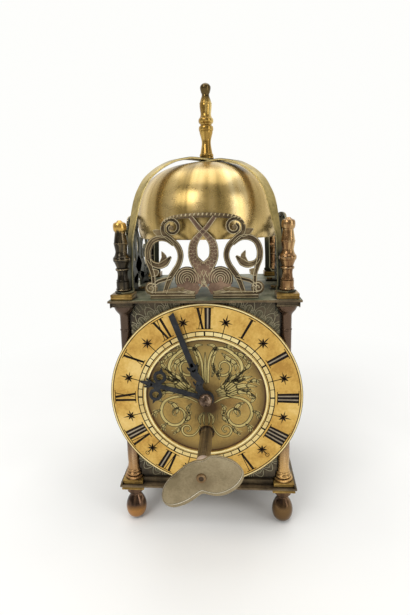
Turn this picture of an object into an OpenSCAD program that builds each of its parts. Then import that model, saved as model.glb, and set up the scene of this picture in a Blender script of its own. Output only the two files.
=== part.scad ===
/* [Case] */
// Distance between the column axes, left to right and front to back
column_spacing = 84; // [82:0.5:88]
// Column shaft diameter at its foot
column_d = 6.6; // [5.8:0.1:6.8]
// Column shaft diameter under its capital
column_top_d = 5.4; // [4.8:0.1:5.8]
// Side length of the square top and bottom plates
plate_w = 98; // [97:0.5:104]
// Thickness of the top and bottom plates
plate_t = 1.2; // [1:0.1:1.6]
// Height of the case over both plates
case_h = 106.2; // [105:0.2:112]
// Height of the feet, their square pads included
foot_h = 22.8; // [22:0.2:25]
// Largest diameter of an egg-shaped foot
foot_d = 11.6; // [9:0.1:13]
// Side of the square block at each end of a column
block_w = 11.2; // [10:0.1:11.6]
// Thickness of the front plate, side panels and back door
sheet_t = 1.2; // [1:0.1:1.4]
// Height of the flared plinth moulding at the sides
plinth_h = 13; // [9:0.5:16]
// Height of the cornice moulding at the sides
cornice_h = 9; // [7:0.5:12]

/* [Dial] */
// Outer diameter of the chapter ring
dial_d = 102; // [98:0.5:103]
// Diameter of the opening in the chapter ring
dial_open_d = 64; // [60:0.5:66]
// Thickness of the chapter ring
dial_t = 1.3; // [1:0.1:1.4]
// Height of the dial centre above the floor
dial_z = 76.2; // [75.8:0.1:77]
// Distance from the dial centre down to the winding hole
winding_drop = 21; // [20.8:0.1:21.2]
// Diameter of the winding hole
winding_hole_d = 7.6; // [7.4:0.1:8]
// Length of the minute hand from its axis
minute_hand_l = 49; // [40:0.5:50]
// Length of the hour hand from its axis
hour_hand_l = 35.8; // [33:0.1:37]
// Thickness of each hand
hand_t = 0.7; // [0.5:0.1:0.8]
// Angle of the minute hand, clockwise from twelve
minute_angle = 340; // [330:1:350]
// Angle of the hour hand, clockwise from twelve
hour_angle = 285; // [270:1:300]

/* [Bell and straps] */
// Height of the straps' top above the top plate
strap_h = 73.5; // [71:0.5:80]
// Width of a strap over the bell and at its tabs
strap_w = 6.2; // [5.4:0.1:8]
// Width of a strap's legs
strap_leg_w = 3.8; // [3.4:0.1:5.2]
// Thickness of a strap
strap_t = 1.2; // [0.9:0.1:1.3]
// Largest outer radius of the bell
bell_r = 41; // [38:0.5:42]
// Height of the bell's rim above the top plate
bell_rim_z = 29.5; // [27:0.5:33]
// Wall of the bell
bell_wall = 1.6; // [1.2:0.1:2.2]
// Height of a corner finial above the strap's foot
finial_h = 35.8; // [32:0.1:39]
// Height of the centre finial above the straps
top_finial_h = 39.8; // [36:0.1:44]

/* [Frets] */
// Height of a fret
fret_h = 43; // [39:0.5:45]
// Thickness of a fret
fret_t = 1.3; // [1:0.1:1.6]

/* [Movement and key] */
// Thickness of the movement plates
movement_plate_t = 1.5; // [1.3:0.1:1.8]
// Clear distance between the movement plates
movement_gap = 26; // [25.5:0.1:27]
// Outer radius of the mainspring barrel
barrel_r = 16.5; // [15.5:0.1:16.8]
// Balance wheel radius
balance_r = 8.5; // [7.5:0.1:9]
// Outer diameter of the key's pipe
key_pipe_d = 6.6; // [6:0.1:6.8]
// Length of the key's pipe
key_pipe_l = 45; // [38:0.5:50]
// Thickness of the key's wing
key_wing_t = 1.3; // [1:0.1:1.6]
// Tilt of the key's wing, right end up
key_tilt = 20; // [0:1:40]

/* [Hidden] */
$fn = 48;
eps = 0.01;

// Clearances: pieces that only pass, shafts that turn, and pegs in holes
gap = 0.3;
run = 0.05;
peg = 0.04;

// Radii of studs, screws and pins
stud_r = 1.5;
screw_r = 1;
bolt_r = 1.1;
pin_r = 0.7;
pivot_r = 0.5;
arbor_r = 0.8;
centre_r = 1;
barrel_arbor_r = 1.6;

// Heights above the floor
c = column_spacing / 2;
z_low = foot_h + plate_t;
z_top = foot_h + case_h;
z_high = z_top - plate_t;
pad_t = 2;
base_h = 3;
block_h = 2.3;
finial_z = z_top + base_h + strap_t;
strap_z = z_top + strap_h;
bell_top = strap_z - 2 * strap_t;
bell_rim = z_top + bell_rim_z;

// Planes from front to back, the column square's middle at y = 0
post_l = 5.3;
hand_gap = 0.6;
centre_t = 2.1;
key_seat = 2.3;
rivet_head = 0.8;
knob_l = 7;
y_ring_back = -(c + column_d / 2 + gap);
y_ring = y_ring_back - dial_t;
y_front = y_ring_back + centre_t;
y_sheet = y_front + sheet_t;
y_mfront = y_sheet + post_l;
y_mfront_in = y_mfront + movement_plate_t;
y_mback = y_mfront_in + movement_gap;
y_mback_out = y_mback + movement_plate_t;
y_hour = y_ring - hand_gap - hand_t;
y_minute = y_hour - hand_gap - hand_t;
y_key_in = y_sheet + key_seat;
y_key_out = y_key_in - key_pipe_l;
y_wing = y_key_out - key_wing_t;
y_door = -y_sheet;
y_door_out = y_door + sheet_t;
y_knob = y_door_out + knob_l;
// The origin is under the middle of the whole clock, key and door knob included
mid_y = -(y_wing - rivet_head + y_knob) / 2;

// Gears: module, teeth and the angle from each arbor to the next
m_motion = 0.45;
cannon_n = 14;
minute_n = 42;
motion_angle = 60;
minute_pinion_n = 12;
hour_n = 48;
m_hour = m_motion * (cannon_n + minute_n) / (minute_pinion_n + hour_n);
great_n = 84;
centre_pinion_n = 12;
m_great = 2 * winding_drop / (great_n + centre_pinion_n);
m_third = 0.32;
centre_n = 80;
third_pinion_n = 10;
third_angle = 50;
m_fourth = 0.28;
third_n = 75;
fourth_pinion_n = 10;
fourth_angle = 150;
m_escape = 0.24;
fourth_n = 80;
escape_pinion_n = 8;
escape_angle = 170;
escape_n = 15;
escape_r = 5.5;
lever_angle = 230;
lever_reach = 7.6;
balance_reach = 9.6;

function reach(m, a, b) = m * (a + b) / 2;
function polar(r, a) = [r * cos(a), r * sin(a)];
function mix(a, b, t) = a + (b - a) * t;
// Arbor places in the plane of the dial: x to the right, then the height
p_centre = [0, dial_z];
p_barrel = [0, dial_z - winding_drop];
p_minute = p_centre + polar(reach(m_motion, cannon_n, minute_n), motion_angle);
p_third = p_centre + polar(reach(m_third, centre_n, third_pinion_n), third_angle);
p_fourth = p_third + polar(reach(m_fourth, third_n, fourth_pinion_n), fourth_angle);
p_escape = p_fourth + polar(reach(m_escape, fourth_n, escape_pinion_n), escape_angle);
p_lever = p_escape + polar(lever_reach, lever_angle);
p_balance = p_lever + polar(balance_reach, lever_angle);

// Front faces of the wheels and their thicknesses
wheel_t = 0.8;
great_t = 1.5;
barrel_l = 14.4;
cap_t = 1;
y_great = y_mfront_in + 1.7;
y_drum = y_great + great_t;
y_cap = y_drum + barrel_l - cap_t;
y_centre_wheel = y_cap + cap_t + 1.2;
y_third_wheel = y_centre_wheel + 3.2;
y_fourth_wheel = y_great + 11.8;
y_escape_wheel = y_fourth_wheel - 3.5;
y_lever = y_escape_wheel - 0.1;
y_roller = y_lever - 1.2;
y_balance = y_roller - 2;
y_spring = y_balance - 1.6;
y_hour_wheel = y_sheet + 1.1;
y_cannon = y_sheet + 2.9;
y_minute_wheel = y_cannon + 0.2;
y_ratchet = y_mfront - 1.7;
ratchet_t = 1.2;
ratchet_n = 24;
ratchet_r = 5.4;
square_w = 3.2;

// The movement plates and what holds them
movement_w = 60;
movement_h = 72;
movement_x = -1;
movement_z = dial_z - 6.4;
hold_x = 26.5;
function hold_places(dz) = [for (sx = [-1, 1], sz = [-1, 1])
    [movement_x + sx * hold_x, movement_z + sz * dz]];
posts = hold_places(22);
pillars = hold_places(32.5);

// The sheets between the columns, and the door's hinge and knob
capital_r = 4.3;
inner_w = 2 * (c - column_d / 2 - gap);
block_in = c - block_w / 2 - gap;
door_in = c - capital_r - gap;
column_base = 7.8;
column_top = 7.2;
base_room = block_h + 1.5;
capital_room = block_h + 3.2;
knuckle_r = 1.4;
knuckle_h = 8;
pin_l = 6;
hinge_x = knuckle_r - block_in;
hinge_y = y_door + sheet_t / 2;
knob_place = [c - 11, dial_z];
door_z0 = z_low + gap;
door_z1 = z_high - gap;

// Smooth curve through a short list of points
function spline_at(a, b, d, e, t) = 0.5 * (2 * b + (d - a) * t + (2 * a - 5 * b + 4 * d - e) * t * t
    + (3 * b - a - 3 * d + e) * t * t * t);
function smooth(pts, n = 4) = let (last = len(pts) - 1)
    [for (i = [0:last - 1]) for (k = [0:n - (i == last - 1 ? 0 : 1)])
        spline_at(pts[max(i - 1, 0)], pts[i], pts[i + 1], pts[min(i + 2, last)], k / n)];
function unit(v) = v / norm(v);
function normal_at(p, i) = let (d = unit(p[min(i + 1, len(p) - 1)] - p[max(i - 1, 0)])) [-d[1], d[0]];
function width_at(w, i, n) = let (s = i / n * (len(w) - 1), k = min(floor(s), len(w) - 2))
    mix(w[k], w[k + 1], s - k);

// A band along a curve, its widths spread evenly from one end to the other
module ribbon(pts, widths, n = 4) {
    p = smooth(pts, n);
    last = len(p) - 1;
    polygon(concat([for (i = [0:last]) p[i] - normal_at(p, i) * width_at(widths, i, last) / 2],
        [for (i = [last:-1:0]) p[i] + normal_at(p, i) * width_at(widths, i, last) / 2]));
}

// A spiral band from radius r0 at angle a0 inwards to r1, turned by the angle turn
module volute(centre, r0, r1, a0, turn, widths, n = 16) {
    ribbon([for (i = [0:n]) centre + polar(mix(r0, r1, i / n), a0 + turn * i / n)], widths, 1);
}

// Profile of a turned piece: a rounded ring from z0 up to z1
function bead(r0, r1, z0, z1, n = 6) =
    [for (i = [0:n]) [r0 + (r1 - r0) * sin(180 * i / n), mix(z0, z1, (1 - cos(180 * i / n)) / 2)]];

// Hollow quarter curve from [x0, z0] to [x1, z1], steep at its second end
function cove(x0, z0, x1, z1, n = 6) =
    [for (i = [0:n]) [mix(x0, x1, sin(90 * i / n)), mix(z0, z1, 1 - cos(90 * i / n))]];

module turned(profile) {
    rotate_extrude() polygon(concat([[0, profile[0][1]]], profile, [[0, profile[len(profile) - 1][1]]]));
}

// Extrudes a drawing in the dial's plane from y0 back to y1
module layer(y0, y1) {
    translate([0, y1, 0]) rotate([90, 0, 0]) linear_extrude(y1 - y0) children();
}

module rod(p, r, y0, y1) {
    translate([p[0], y1, p[1]]) rotate([90, 0, 0]) cylinder(r = r, h = y1 - y0);
}

module hex_nut(p, r, bore_r, y0, y1) {
    difference() {
        translate([p[0], y1, p[1]]) rotate([90, 0, 0]) cylinder(r = r, h = y1 - y0, $fn = 6);
        rod(p, bore_r, y0 - 1, y1 + 1);
    }
}

module stud(r, z0, z1) {
    translate([0, 0, z0]) cylinder(r = r, h = z1 - z0);
}

module square_block(w, z0, h) {
    translate([-w / 2, -w / 2, z0]) cube([w, w, h]);
}

module at_corners() {
    for (sx = [-1, 1], sy = [-1, 1]) translate([sx * c, sy * c, 0]) children();
}

module both_sides() {
    for (s = [0, 1]) mirror([s, 0, 0]) children();
}

module place() {
    translate([0, mid_y, 0]) children();
}

// The case

module corner_plate(z0) {
    difference() {
        square_block(plate_w, z0, plate_t);
        at_corners() stud(stud_r + peg, z0 - 1, z0 + plate_t + 1);
        translate([hinge_x, hinge_y, 0]) stud(pin_r + run, z0 - 1, z0 + plate_t + 1);
    }
}

module bottom_plate() {
    color([0.45, 0.42, 0.30]) corner_plate(foot_h);
}

module top_plate() {
    color([0.52, 0.53, 0.40]) difference() {
        corner_plate(z_high);
        at_fret_screws() stud(screw_r + peg, z_high - 1, z_top + 1);
    }
}

moulding_depth = 5;
plinth_out = plate_w / 2 - 0.4;
cornice_out = plate_w / 2 - 1;
moulding_in = plinth_out - moulding_depth;

// Room for a column at both ends of the right-hand moulding
module column_room(w, z0, h) {
    for (s = [0, 1]) mirror([0, s, 0]) translate([0, c - w / 2, z0]) cube([c + w / 2, plate_w, h]);
}

module side_bar(profile, out) {
    translate([0, out, 0]) rotate([90, 0, 0]) linear_extrude(2 * out) polygon(profile);
}

module plinth_mouldings() {
    sill_t = 1.9;
    color([0.27, 0.26, 0.20]) {
        both_sides() difference() {
            side_bar(concat([[moulding_in, z_low], [plinth_out, z_low]],
                cove(plinth_out, z_low + 1.2, moulding_in + 0.6, z_low + plinth_h),
                [[moulding_in, z_low + plinth_h]]), plinth_out);
            column_room(block_w + 2 * peg, z_low - 1, base_room + 1);
            column_room(2 * (capital_r + gap), z_low, plinth_h + 1);
        }
        translate([-block_in, y_front - sill_t, z_low]) cube([2 * block_in, sill_t, 3]);
    }
}

module cornice_mouldings() {
    color([0.35, 0.35, 0.27]) both_sides() difference() {
        side_bar(concat([[moulding_in, z_high], [cornice_out, z_high]],
            cove(cornice_out, z_high - 2.6, moulding_in + 0.6, z_high - cornice_h),
            [[moulding_in, z_high - cornice_h]]), cornice_out);
        column_room(2 * (capital_r + gap), z_high - cornice_h - 1, cornice_h + 2);
        column_room(block_w + 2 * peg, z_high - capital_room, capital_room + 1);
    }
}

module columns() {
    foot = z_low + block_h;
    rb = column_d / 2;
    rt = column_top_d / 2;
    profile = concat([[5.2, foot - 0.5], [5.2, foot + 0.9], [4.6, foot + 1.3]],
        bead(3.7, capital_r, foot + 1.4, foot + 3.2), bead(3.4, 3.9, foot + 3.6, foot + 5.1),
        [[3.3, foot + 5.4], [3.45, foot + 6.4], [rb - 0.2, foot + 8.4], [rb, foot + 12],
        [mix(rb, rt, 0.5), mix(foot, z_high, 0.5)], [rt + 0.05, z_high - 16.2]],
        bead(rt, rt + 0.3, z_high - 15.8, z_high - 14.8), [[rt, z_high - 14.4], [rt, z_high - 8],
        [rt + 0.1, z_high - 7.4], [rt + 0.5, z_high - 6.6], [4.1, z_high - 5.6], [4.8, z_high - 4.6],
        [5.3, z_high - 3.4], [5.4, z_high - block_h + 0.5]]);
    color([0.50, 0.33, 0.24]) at_corners() difference() {
        union() {
            square_block(block_w, z_low, block_h);
            square_block(block_w, z_high - block_h, block_h);
            turned(profile);
        }
        stud(stud_r + peg, z_low - 1, z_low + 8);
        stud(stud_r + peg, z_high - 8, z_high + 1);
    }
}

module feet() {
    r = foot_d / 2;
    egg_h = foot_h - pad_t;
    egg = concat([[1.6, 0], [0.4 * r, 0.015 * egg_h]],
        smooth([[0.64 * r, 0.06 * egg_h], [0.83 * r, 0.125 * egg_h], [0.95 * r, 0.21 * egg_h], [r, 0.32 * egg_h],
        [0.97 * r, 0.42 * egg_h], [0.88 * r, 0.51 * egg_h], [0.75 * r, 0.595 * egg_h], [0.6 * r, 0.665 * egg_h],
        [0.51 * r, 0.72 * egg_h]], 2),
        [[0.51 * r, 0.755 * egg_h], [0.58 * r, 0.78 * egg_h], [4.3, 0.81 * egg_h], [4.7, 0.835 * egg_h],
        [4.7, egg_h]]);
    color([0.62, 0.42, 0.24]) at_corners() {
        turned(egg);
        square_block(block_w + 1.2, egg_h, pad_t);
        stud(stud_r, foot_h - eps, z_low + 7);
    }
}

module finial_bases() {
    color([0.72, 0.58, 0.25]) at_corners() difference() {
        square_block(block_w, z_top, base_h);
        stud(stud_r + peg, z_top - 1, z_top + base_h + 1);
    }
}

module corner_finials() {
    z = finial_z;
    h = finial_h / 35.8;
    profile = concat([[3.7, z]], bead(3.4, 3.8, z + 0.2, z + 1.4), [[3.4, z + 1.6], [3.4, z + 4.9 * h]],
        bead(2.9, 3.3, z + 5.1 * h, z + 6 * h), [[2.7, z + 7 * h], [2.55, z + 8.7 * h], [2.7, z + 10 * h]],
        bead(2.8, 3.45, z + 10.4 * h, z + 12 * h), [[2.9, z + 12.3 * h], [3.5, z + 14 * h]],
        bead(3.9, 4.4, z + 15 * h, z + 17.6 * h), [[3.4, z + 18.4 * h], [2.95, z + 20 * h],
        [3.1, z + 21.8 * h], [3.5, z + 23.8 * h]], bead(3.4, 3.6, z + 24 * h, z + 24.7 * h),
        [[3.1, z + 26.8 * h], [2.6, z + 29.7 * h]], bead(2.7, 3.4, z + 30.2 * h, z + 34.6 * h),
        [[1.6, z + 35.1 * h], [0.8, z + 35.8 * h]]);
    color([0.50, 0.38, 0.24]) at_corners() {
        turned(profile);
        stud(stud_r, z_high - 6, z + eps);
    }
}

// Outline of a sheet that stands between two columns, cut back at their bases and capitals
module sheet_outline() {
    difference() {
        translate([-inner_w / 2, z_low]) square([inner_w, z_high - z_low]);
        for (s = [-1, 1]) translate([s * c, 0]) {
            translate([block_in - c, z_low - 1]) square([2 * (c - block_in), base_room + 1]);
            translate([door_in - c, z_low]) square([2 * (c - door_in), column_base]);
            translate([door_in - c, z_high - column_top]) square([2 * (c - door_in), column_top + 1]);
            translate([block_in - c, z_high - capital_room]) square([2 * (c - block_in), capital_room + 1]);
        }
    }
}

// The winding work's opening in the front plate, behind the winding hole
key_window = winding_hole_d + 6.4;

module front_plate() {
    color([0.25, 0.24, 0.18]) difference() {
        layer(y_front, y_sheet) sheet_outline();
        rod(p_centre, 2.8, y_front - 1, y_sheet + 1);
        translate([p_barrel[0] - key_window / 2, y_front - 1, p_barrel[1] - key_window / 2])
            cube([key_window, sheet_t + 2, key_window]);
        for (p = dial_feet_places) rod(p, bolt_r + peg, y_front - 1, y_sheet + 1);
        for (p = posts) rod(p, bolt_r + peg, y_front - 1, y_sheet + 1);
    }
}

module side_panel(side) {
    color([0.30, 0.27, 0.20]) mirror([side, 0, 0]) rotate([0, 0, 90])
        layer(-moulding_in, sheet_t - moulding_in) sheet_outline();
}

module left_panel() {
    side_panel(1);
}

module right_panel() {
    side_panel(0);
}

module back_door() {
    color([0.35, 0.29, 0.20]) difference() {
        union() {
            translate([-block_in, y_door, door_z0]) cube([2 * block_in, sheet_t, door_z1 - door_z0]);
            translate([-door_in, y_door, z_low + base_room])
                cube([2 * door_in, sheet_t, z_high - z_low - base_room - capital_room]);
            for (z = [door_z0, door_z1 - knuckle_h]) translate([hinge_x, hinge_y, 0])
                stud(knuckle_r, z, z + knuckle_h);
        }
        translate([hinge_x, hinge_y, 0]) {
            stud(pin_r, door_z0 - 1, door_z0 + pin_l);
            stud(pin_r, door_z1 - pin_l, door_z1 + 1);
        }
        rod(knob_place, screw_r, y_door - 1, y_door_out + 1);
    }
}

module door_pins() {
    color([0.75, 0.70, 0.55]) translate([hinge_x, hinge_y, 0]) {
        stud(pin_r, foot_h + 0.1, door_z0 + pin_l);
        stud(pin_r, door_z1 - pin_l, z_top - 0.1);
    }
}

module door_knob() {
    color([0.70, 0.55, 0.28]) {
        translate([knob_place[0], y_door_out, knob_place[1]]) rotate([-90, 0, 0])
            turned(concat([[2.2, 0], [1.3, 0.8], [1.2, 2.2]], bead(1.6, 3, 2.6, knob_l)));
        rod(knob_place, screw_r, y_door - eps, y_door_out + eps);
        rod(knob_place, 1.8, y_door - 0.6, y_door);
    }
}

// The frets, drawn in their own plane: x from the middle, y up from the plate

fret_y = c + 1.9;
fret_tab_x = 16;
fret_tab_l = 7;
fret_tab_t = 1;
fret_screw_y = -fret_y + fret_t + fret_tab_l - 2.6;

module dolphin() {
    ribbon([[-4.4, 9.5], [-0.8, 13.6], [2.6, 17], [4.9, 20.6], [5.3, 24.6], [4.5, 28.4], [1.6, 32.2],
        [-1.8, 35.6], [-6, 41]], [11, 9.5, 6.4, 5, 4.6, 4.2, 3, 2.6, 2.2], 5);
    translate([-8.4, 10.2]) circle(r = 6.3, $fn = 40);
    polygon([[-13.6, 7], [-14.4, 4.4], [-10.4, 3.4], [-5.4, 2.2], [-3.6, 2.4], [-1.8, 5.6], [-4, 9]]);
}

module half_scrolls() {
    // Top volute and the stem that falls from it to the base
    volute([15.5, 35.9], 4.5, 1.6, 15, 410, [2.2, 1.6], 22);
    ribbon([[19.9, 37], [19.7, 33.4], [16.2, 30.2], [12.9, 26.8], [11.5, 22.4], [12.6, 17.8], [15.2, 13.8],
        [17.6, 10], [20.2, 3]], [2.2, 2.8, 3, 3, 3, 3, 3, 3, 2.4], 5);
    // Outer loop from that stem round to the corner volute
    ribbon([[14.8, 27.4], [18.4, 30.4], [22.6, 30.8], [26.2, 28.8], [28, 24.8], [28, 20.4], [26.8, 16],
        [25.8, 11.6], [25.8, 3]], [1.6, 2.8, 3.2, 3.2, 3.2, 3.2, 2.6, 2.2, 2.2], 5);
    volute([27.4, 5.6], 2.4, 0.9, 170, -360, [1.8, 1.5]);
    // Leaf that curls back inside the loop
    ribbon([[27.6, 20.6], [25.8, 18.2], [22.4, 17.2], [19.4, 18.6], [16.4, 21.6]], [2, 2.6, 3.4, 4, 1]);
    polygon([[22.8, 18], [21, 21.4], [21, 24.4], [18.8, 22.2], [18.2, 19.4]]);
    // Small leaves outside the stems
    polygon([[19.4, 31], [22.8, 32], [25, 34.8], [21.8, 35], [18.9, 33.8]]);
    polygon([[26.2, 15.4], [23, 14.8], [23.8, 12.2], [26.2, 11.8]]);
    ribbon([[16.4, 11], [20.4, 9.9], [23.6, 8.9], [26.2, 6.6]], [1.6, 2, 1.9, 1.4]);
    // Foot bar and the fin between it and the head
    translate([4.5, 0]) square([23.2, 4]);
    ribbon([[10, 5], [15.6, 4.6], [21, 3.6]], [3, 2.2, 1.4], 3);
}

module crest() {
    ribbon([[-20, 37.6], [-17.4, 39.9], [-12.4, 41.1], [-6.2, 41.6], [0, 41.8], [6.2, 41.6], [12.4, 41.1],
        [17.4, 39.9], [20, 37.6]], [1.4, 2, 2.3, 2.4, 2.4, 2.4, 2.3, 2, 1.4], 5);
}

module fret_body() {
    size = fret_h / 43;
    linear_extrude(fret_t) scale(size) crest();
    both_sides() linear_extrude(fret_t) scale(size) {
        dolphin();
        half_scrolls();
    }
}

module fret(side) {
    tab_w = 5.2;
    rotate(90 * side) {
        translate([0, -fret_y + fret_t, z_top]) rotate([90, 0, 0]) fret_body();
        for (s = [-1, 1]) difference() {
            translate([s * fret_tab_x - tab_w / 2, -fret_y + fret_t - eps, z_top])
                cube([tab_w, fret_tab_l, fret_tab_t]);
            translate([s * fret_tab_x, fret_screw_y, 0]) stud(screw_r + peg, z_top - 1, z_top + 2);
        }
    }
}

module at_fret_screws() {
    for (side = [-1, 0, 1], s = [-1, 1]) rotate(90 * side)
        translate([s * fret_tab_x, fret_screw_y, 0]) children();
}

module front_fret() {
    color([0.45, 0.34, 0.20]) fret(0);
}

module left_fret() {
    color([0.42, 0.36, 0.24]) fret(-1);
}

module right_fret() {
    color([0.42, 0.36, 0.24]) fret(1);
}

module fret_screws() {
    head_z = z_top + fret_tab_t;
    color([0.60, 0.48, 0.26]) at_fret_screws() difference() {
        union() {
            stud(screw_r, z_high + 0.1, head_z + eps);
            stud(1.9, head_z, head_z + 1.1);
        }
        translate([-2, -0.25, head_z + 0.6]) cube([4, 0.5, 1]);
    }
}

// The bell and what carries it

function bell_curve(r, z_wide, z_crown, n = 14) = [for (i = [0:n]) let (t = 90 * i / n)
    [max(r * pow(cos(t), 0.8), 4), mix(z_wide, z_crown, pow(sin(t), 0.8))]];

module bell() {
    wide = bell_rim + 9;
    outer = concat([[0, bell_rim], [bell_r - 1.6, bell_rim], [bell_r - 1.2, bell_rim + 0.8],
        [bell_r - 0.4, bell_rim + 4]], bell_curve(bell_r, wide, bell_top), [[0, bell_top]]);
    inner = concat([[0, bell_rim - 1], [bell_r - 1.2 - bell_wall, bell_rim - 1]],
        bell_curve(bell_r - bell_wall, wide, bell_top - bell_wall), [[0, bell_top - bell_wall]]);
    color([0.66, 0.56, 0.27]) difference() {
        rotate_extrude($fn = 96) polygon(outer);
        rotate_extrude($fn = 96) polygon(inner);
        stud(stud_r + peg, bell_top - 5, bell_top + 1);
    }
}

// Middle line of half a strap: how far in from the column's axis, and how high
// between the foot and the top, from the tab on the square base to the flat crown
strap_shape = [[-3.2, 0], [3, 0], [4.2, 0.012], [4.6, 0.045], [4.7, 0.14], [5.3, 0.27], [5.9, 0.39],
    [7.6, 0.49], [9.4, 0.585], [11.9, 0.69], [14.7, 0.763], [18.2, 0.828], [23.6, 0.888], [29.1, 0.932],
    [35.2, 0.968], [42, 0.99], [47, 1]];

module strap(top, angle) {
    r = c * sqrt(2);
    low = z_top + base_h + strap_t / 2;
    high = top - strap_t / 2;
    line = concat([for (p = strap_shape) [r - p[0], mix(low, high, p[1])]], [[0, high]]);
    leg = low + strap_t / 2 + 0.8;
    side = [[strap_leg_w / 2, leg], [strap_w, leg], [strap_w, mix(low, high, 0.62)],
        [strap_w / 2, mix(low, high, 0.62)], [strap_leg_w / 2, mix(low, high, 0.4)]];
    difference() {
        for (s = [0, 180]) rotate(angle + s) translate([0, strap_w / 2, 0]) rotate([90, 0, 0])
            linear_extrude(strap_w) ribbon(line, [strap_t, strap_t], 2);
        for (s = [0, 180], m = [0, 1]) rotate(angle + s) mirror([0, m, 0]) rotate([90, 0, 90])
            linear_extrude(1.5 * r) polygon(side);
        square_block(2 * plate_w, z_top - 1, base_h + 1);
        stud(stud_r + peg, bell_rim, strap_z + 1);
        at_corners() stud(stud_r + peg, z_top, finial_z + 1);
    }
}

module upper_strap() {
    color([0.62, 0.54, 0.33]) strap(strap_z, 45);
}

module lower_strap() {
    color([0.62, 0.54, 0.33]) strap(strap_z - strap_t, -45);
}

module top_finial() {
    z = strap_z;
    h = top_finial_h / 39.8;
    profile = concat([[4.15, z], [4.15, z + 0.8]], bead(3.6, 4, z + 1, z + 2.6 * h), [[3.4, z + 3.4 * h],
        [2.9, z + 6 * h], [2.6, z + 8.6 * h], [2.9, z + 11 * h], [3.7, z + 13.8 * h]],
        bead(3.8, 4.15, z + 14.8 * h, z + 17.4 * h), [[3.1, z + 18 * h], [3.3, z + 18.6 * h]],
        bead(3.5, 4.25, z + 18.9 * h, z + 21.8 * h), [[3.2, z + 22.6 * h], [2.95, z + 23.9 * h],
        [3.2, z + 26 * h], [3.45, z + 28.4 * h]], bead(3.3, 3.5, z + 29 * h, z + 29.7 * h),
        [[2.8, z + 31.4 * h], [2.05, z + 33.8 * h], [2.5, z + 35.2 * h], [2.95, z + 37 * h],
        [2.9, z + 38.2 * h], [2.2, z + 39.2 * h], [1.2, z + 39.8 * h]]);
    color([0.72, 0.58, 0.30]) {
        turned(profile);
        stud(stud_r, bell_top - bell_wall - 4, z + eps);
    }
}

module bell_nut() {
    z = bell_top - bell_wall;
    color([0.55, 0.48, 0.30]) difference() {
        translate([0, 0, z - 2.8]) cylinder(r = 3.6, h = 2.8, $fn = 6);
        stud(stud_r + peg, z - 4, z + 1);
    }
}

// The dial and hands

dial_foot_r = 38;
dial_feet_places = [for (a = [30, 150, 210, 330]) p_centre + polar(dial_foot_r, a)];
hour_pipe_r = 2.3;
cannon_pipe_r = 1.5;

module chapter_ring() {
    color([0.80, 0.62, 0.28]) difference() {
        rod(p_centre, dial_d / 2, y_ring, y_ring_back, $fn = 96);
        rod(p_centre, dial_open_d / 2, y_ring - 1, y_ring_back + 1, $fn = 96);
    }
}

module dial_centre() {
    color([0.74, 0.58, 0.28]) difference() {
        rod(p_centre, dial_open_d / 2 + 3, y_ring_back, y_front);
        rod(p_centre, hour_pipe_r + gap, y_ring_back - 1, y_front + 1);
        rod(p_barrel, winding_hole_d / 2, y_ring_back - 1, y_front + 1);
    }
}

module dial_feet() {
    color([0.70, 0.56, 0.30]) for (p = dial_feet_places) {
        rod(p, 1.9, y_ring_back, y_front);
        rod(p, bolt_r, y_front - eps, y_sheet + 1.9);
    }
}

module dial_nuts() {
    color([0.60, 0.50, 0.30]) for (p = dial_feet_places) hex_nut(p, 2.5, bolt_r + peg, y_sheet, y_sheet + 1.4);
}

// A hand's outline, drawn pointing up from its axis
module point_hand(angle) {
    translate(p_centre) rotate(-angle) children();
}

module minute_outline() {
    l = minute_hand_l;
    circle(r = 4);
    ribbon([[0, 3], [-0.9, 7], [0.9, 11], [-0.4, 15], [0.3, 18], [0, 21]], [3.4, 3.8, 3, 3.8, 3.6, 2.4]);
    ribbon([[0, 19], [0, l * 0.6], [0, l - 0.6]], [2.4, 2.9, 3.1], 2);
    for (s = [-1, 1]) {
        ribbon([[0, 16.6], [s * 1.8, 17.8], [s * 2.7, 19.8]], [1.8, 1.3, 0.6], 3);
        ribbon([[s * 0.6, 8.6], [s * 2.2, 9.4], [s * 2.5, 11.4]], [1.4, 1.1, 0.6], 3);
    }
    polygon([[-1.55, l - 1.2], [1.55, l - 1.2], [1.5, l + 0.3], [-1.4, l - 0.8]]);
}

module hour_outline() {
    l = hour_hand_l;
    r_ring = l - 9.6;
    circle(r = 4.4);
    ribbon([[0, 3], [0, 8], [0, 12], [0, r_ring]], [3.4, 2.4, 3, 2.2], 3);
    translate([0, r_ring]) circle(r = 2.4);
    for (s = [-1, 1]) {
        difference() {
            translate([s * 5.1, r_ring]) circle(r = 3.5);
            translate([s * 5.1, r_ring]) circle(r = 1.8);
        }
        ribbon([[s * 8.3, r_ring], [s * 10.4, r_ring + 0.4]], [1.8, 0.3], 1);
        ribbon([[0, r_ring + 3.2], [s * 1.6, r_ring + 4.8], [s * 2.4, r_ring + 7]], [1.6, 1.3, 0.6], 3);
    }
    ribbon([[0, r_ring], [0, r_ring + 5], [0, l]], [3, 2.4, 0.8], 3);
}

module hour_hand() {
    color([0.08, 0.09, 0.10]) difference() {
        layer(y_hour, y_hour + hand_t) point_hand(hour_angle) hour_outline();
        rod(p_centre, hour_pipe_r + peg, y_hour - 1, y_hour + 2);
    }
}

module minute_hand() {
    color([0.08, 0.09, 0.10]) difference() {
        layer(y_minute, y_minute + hand_t) point_hand(minute_angle) minute_outline();
        rod(p_centre, cannon_pipe_r + peg, y_minute - 1, y_minute + 2);
    }
}

module hand_nut() {
    l = 2.9;
    color([0.50, 0.36, 0.30]) difference() {
        translate([0, y_minute, dial_z]) rotate([90, 0, 0])
            turned([[3.5, 0], [3.65, 0.4], [3.6, 1.2], [3.1, 2], [2.2, 2.6], [1, l]]);
        rod(p_centre, cannon_pipe_r + peg, y_minute - 1.3, y_minute + 1);
    }
}

// The movement

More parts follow.
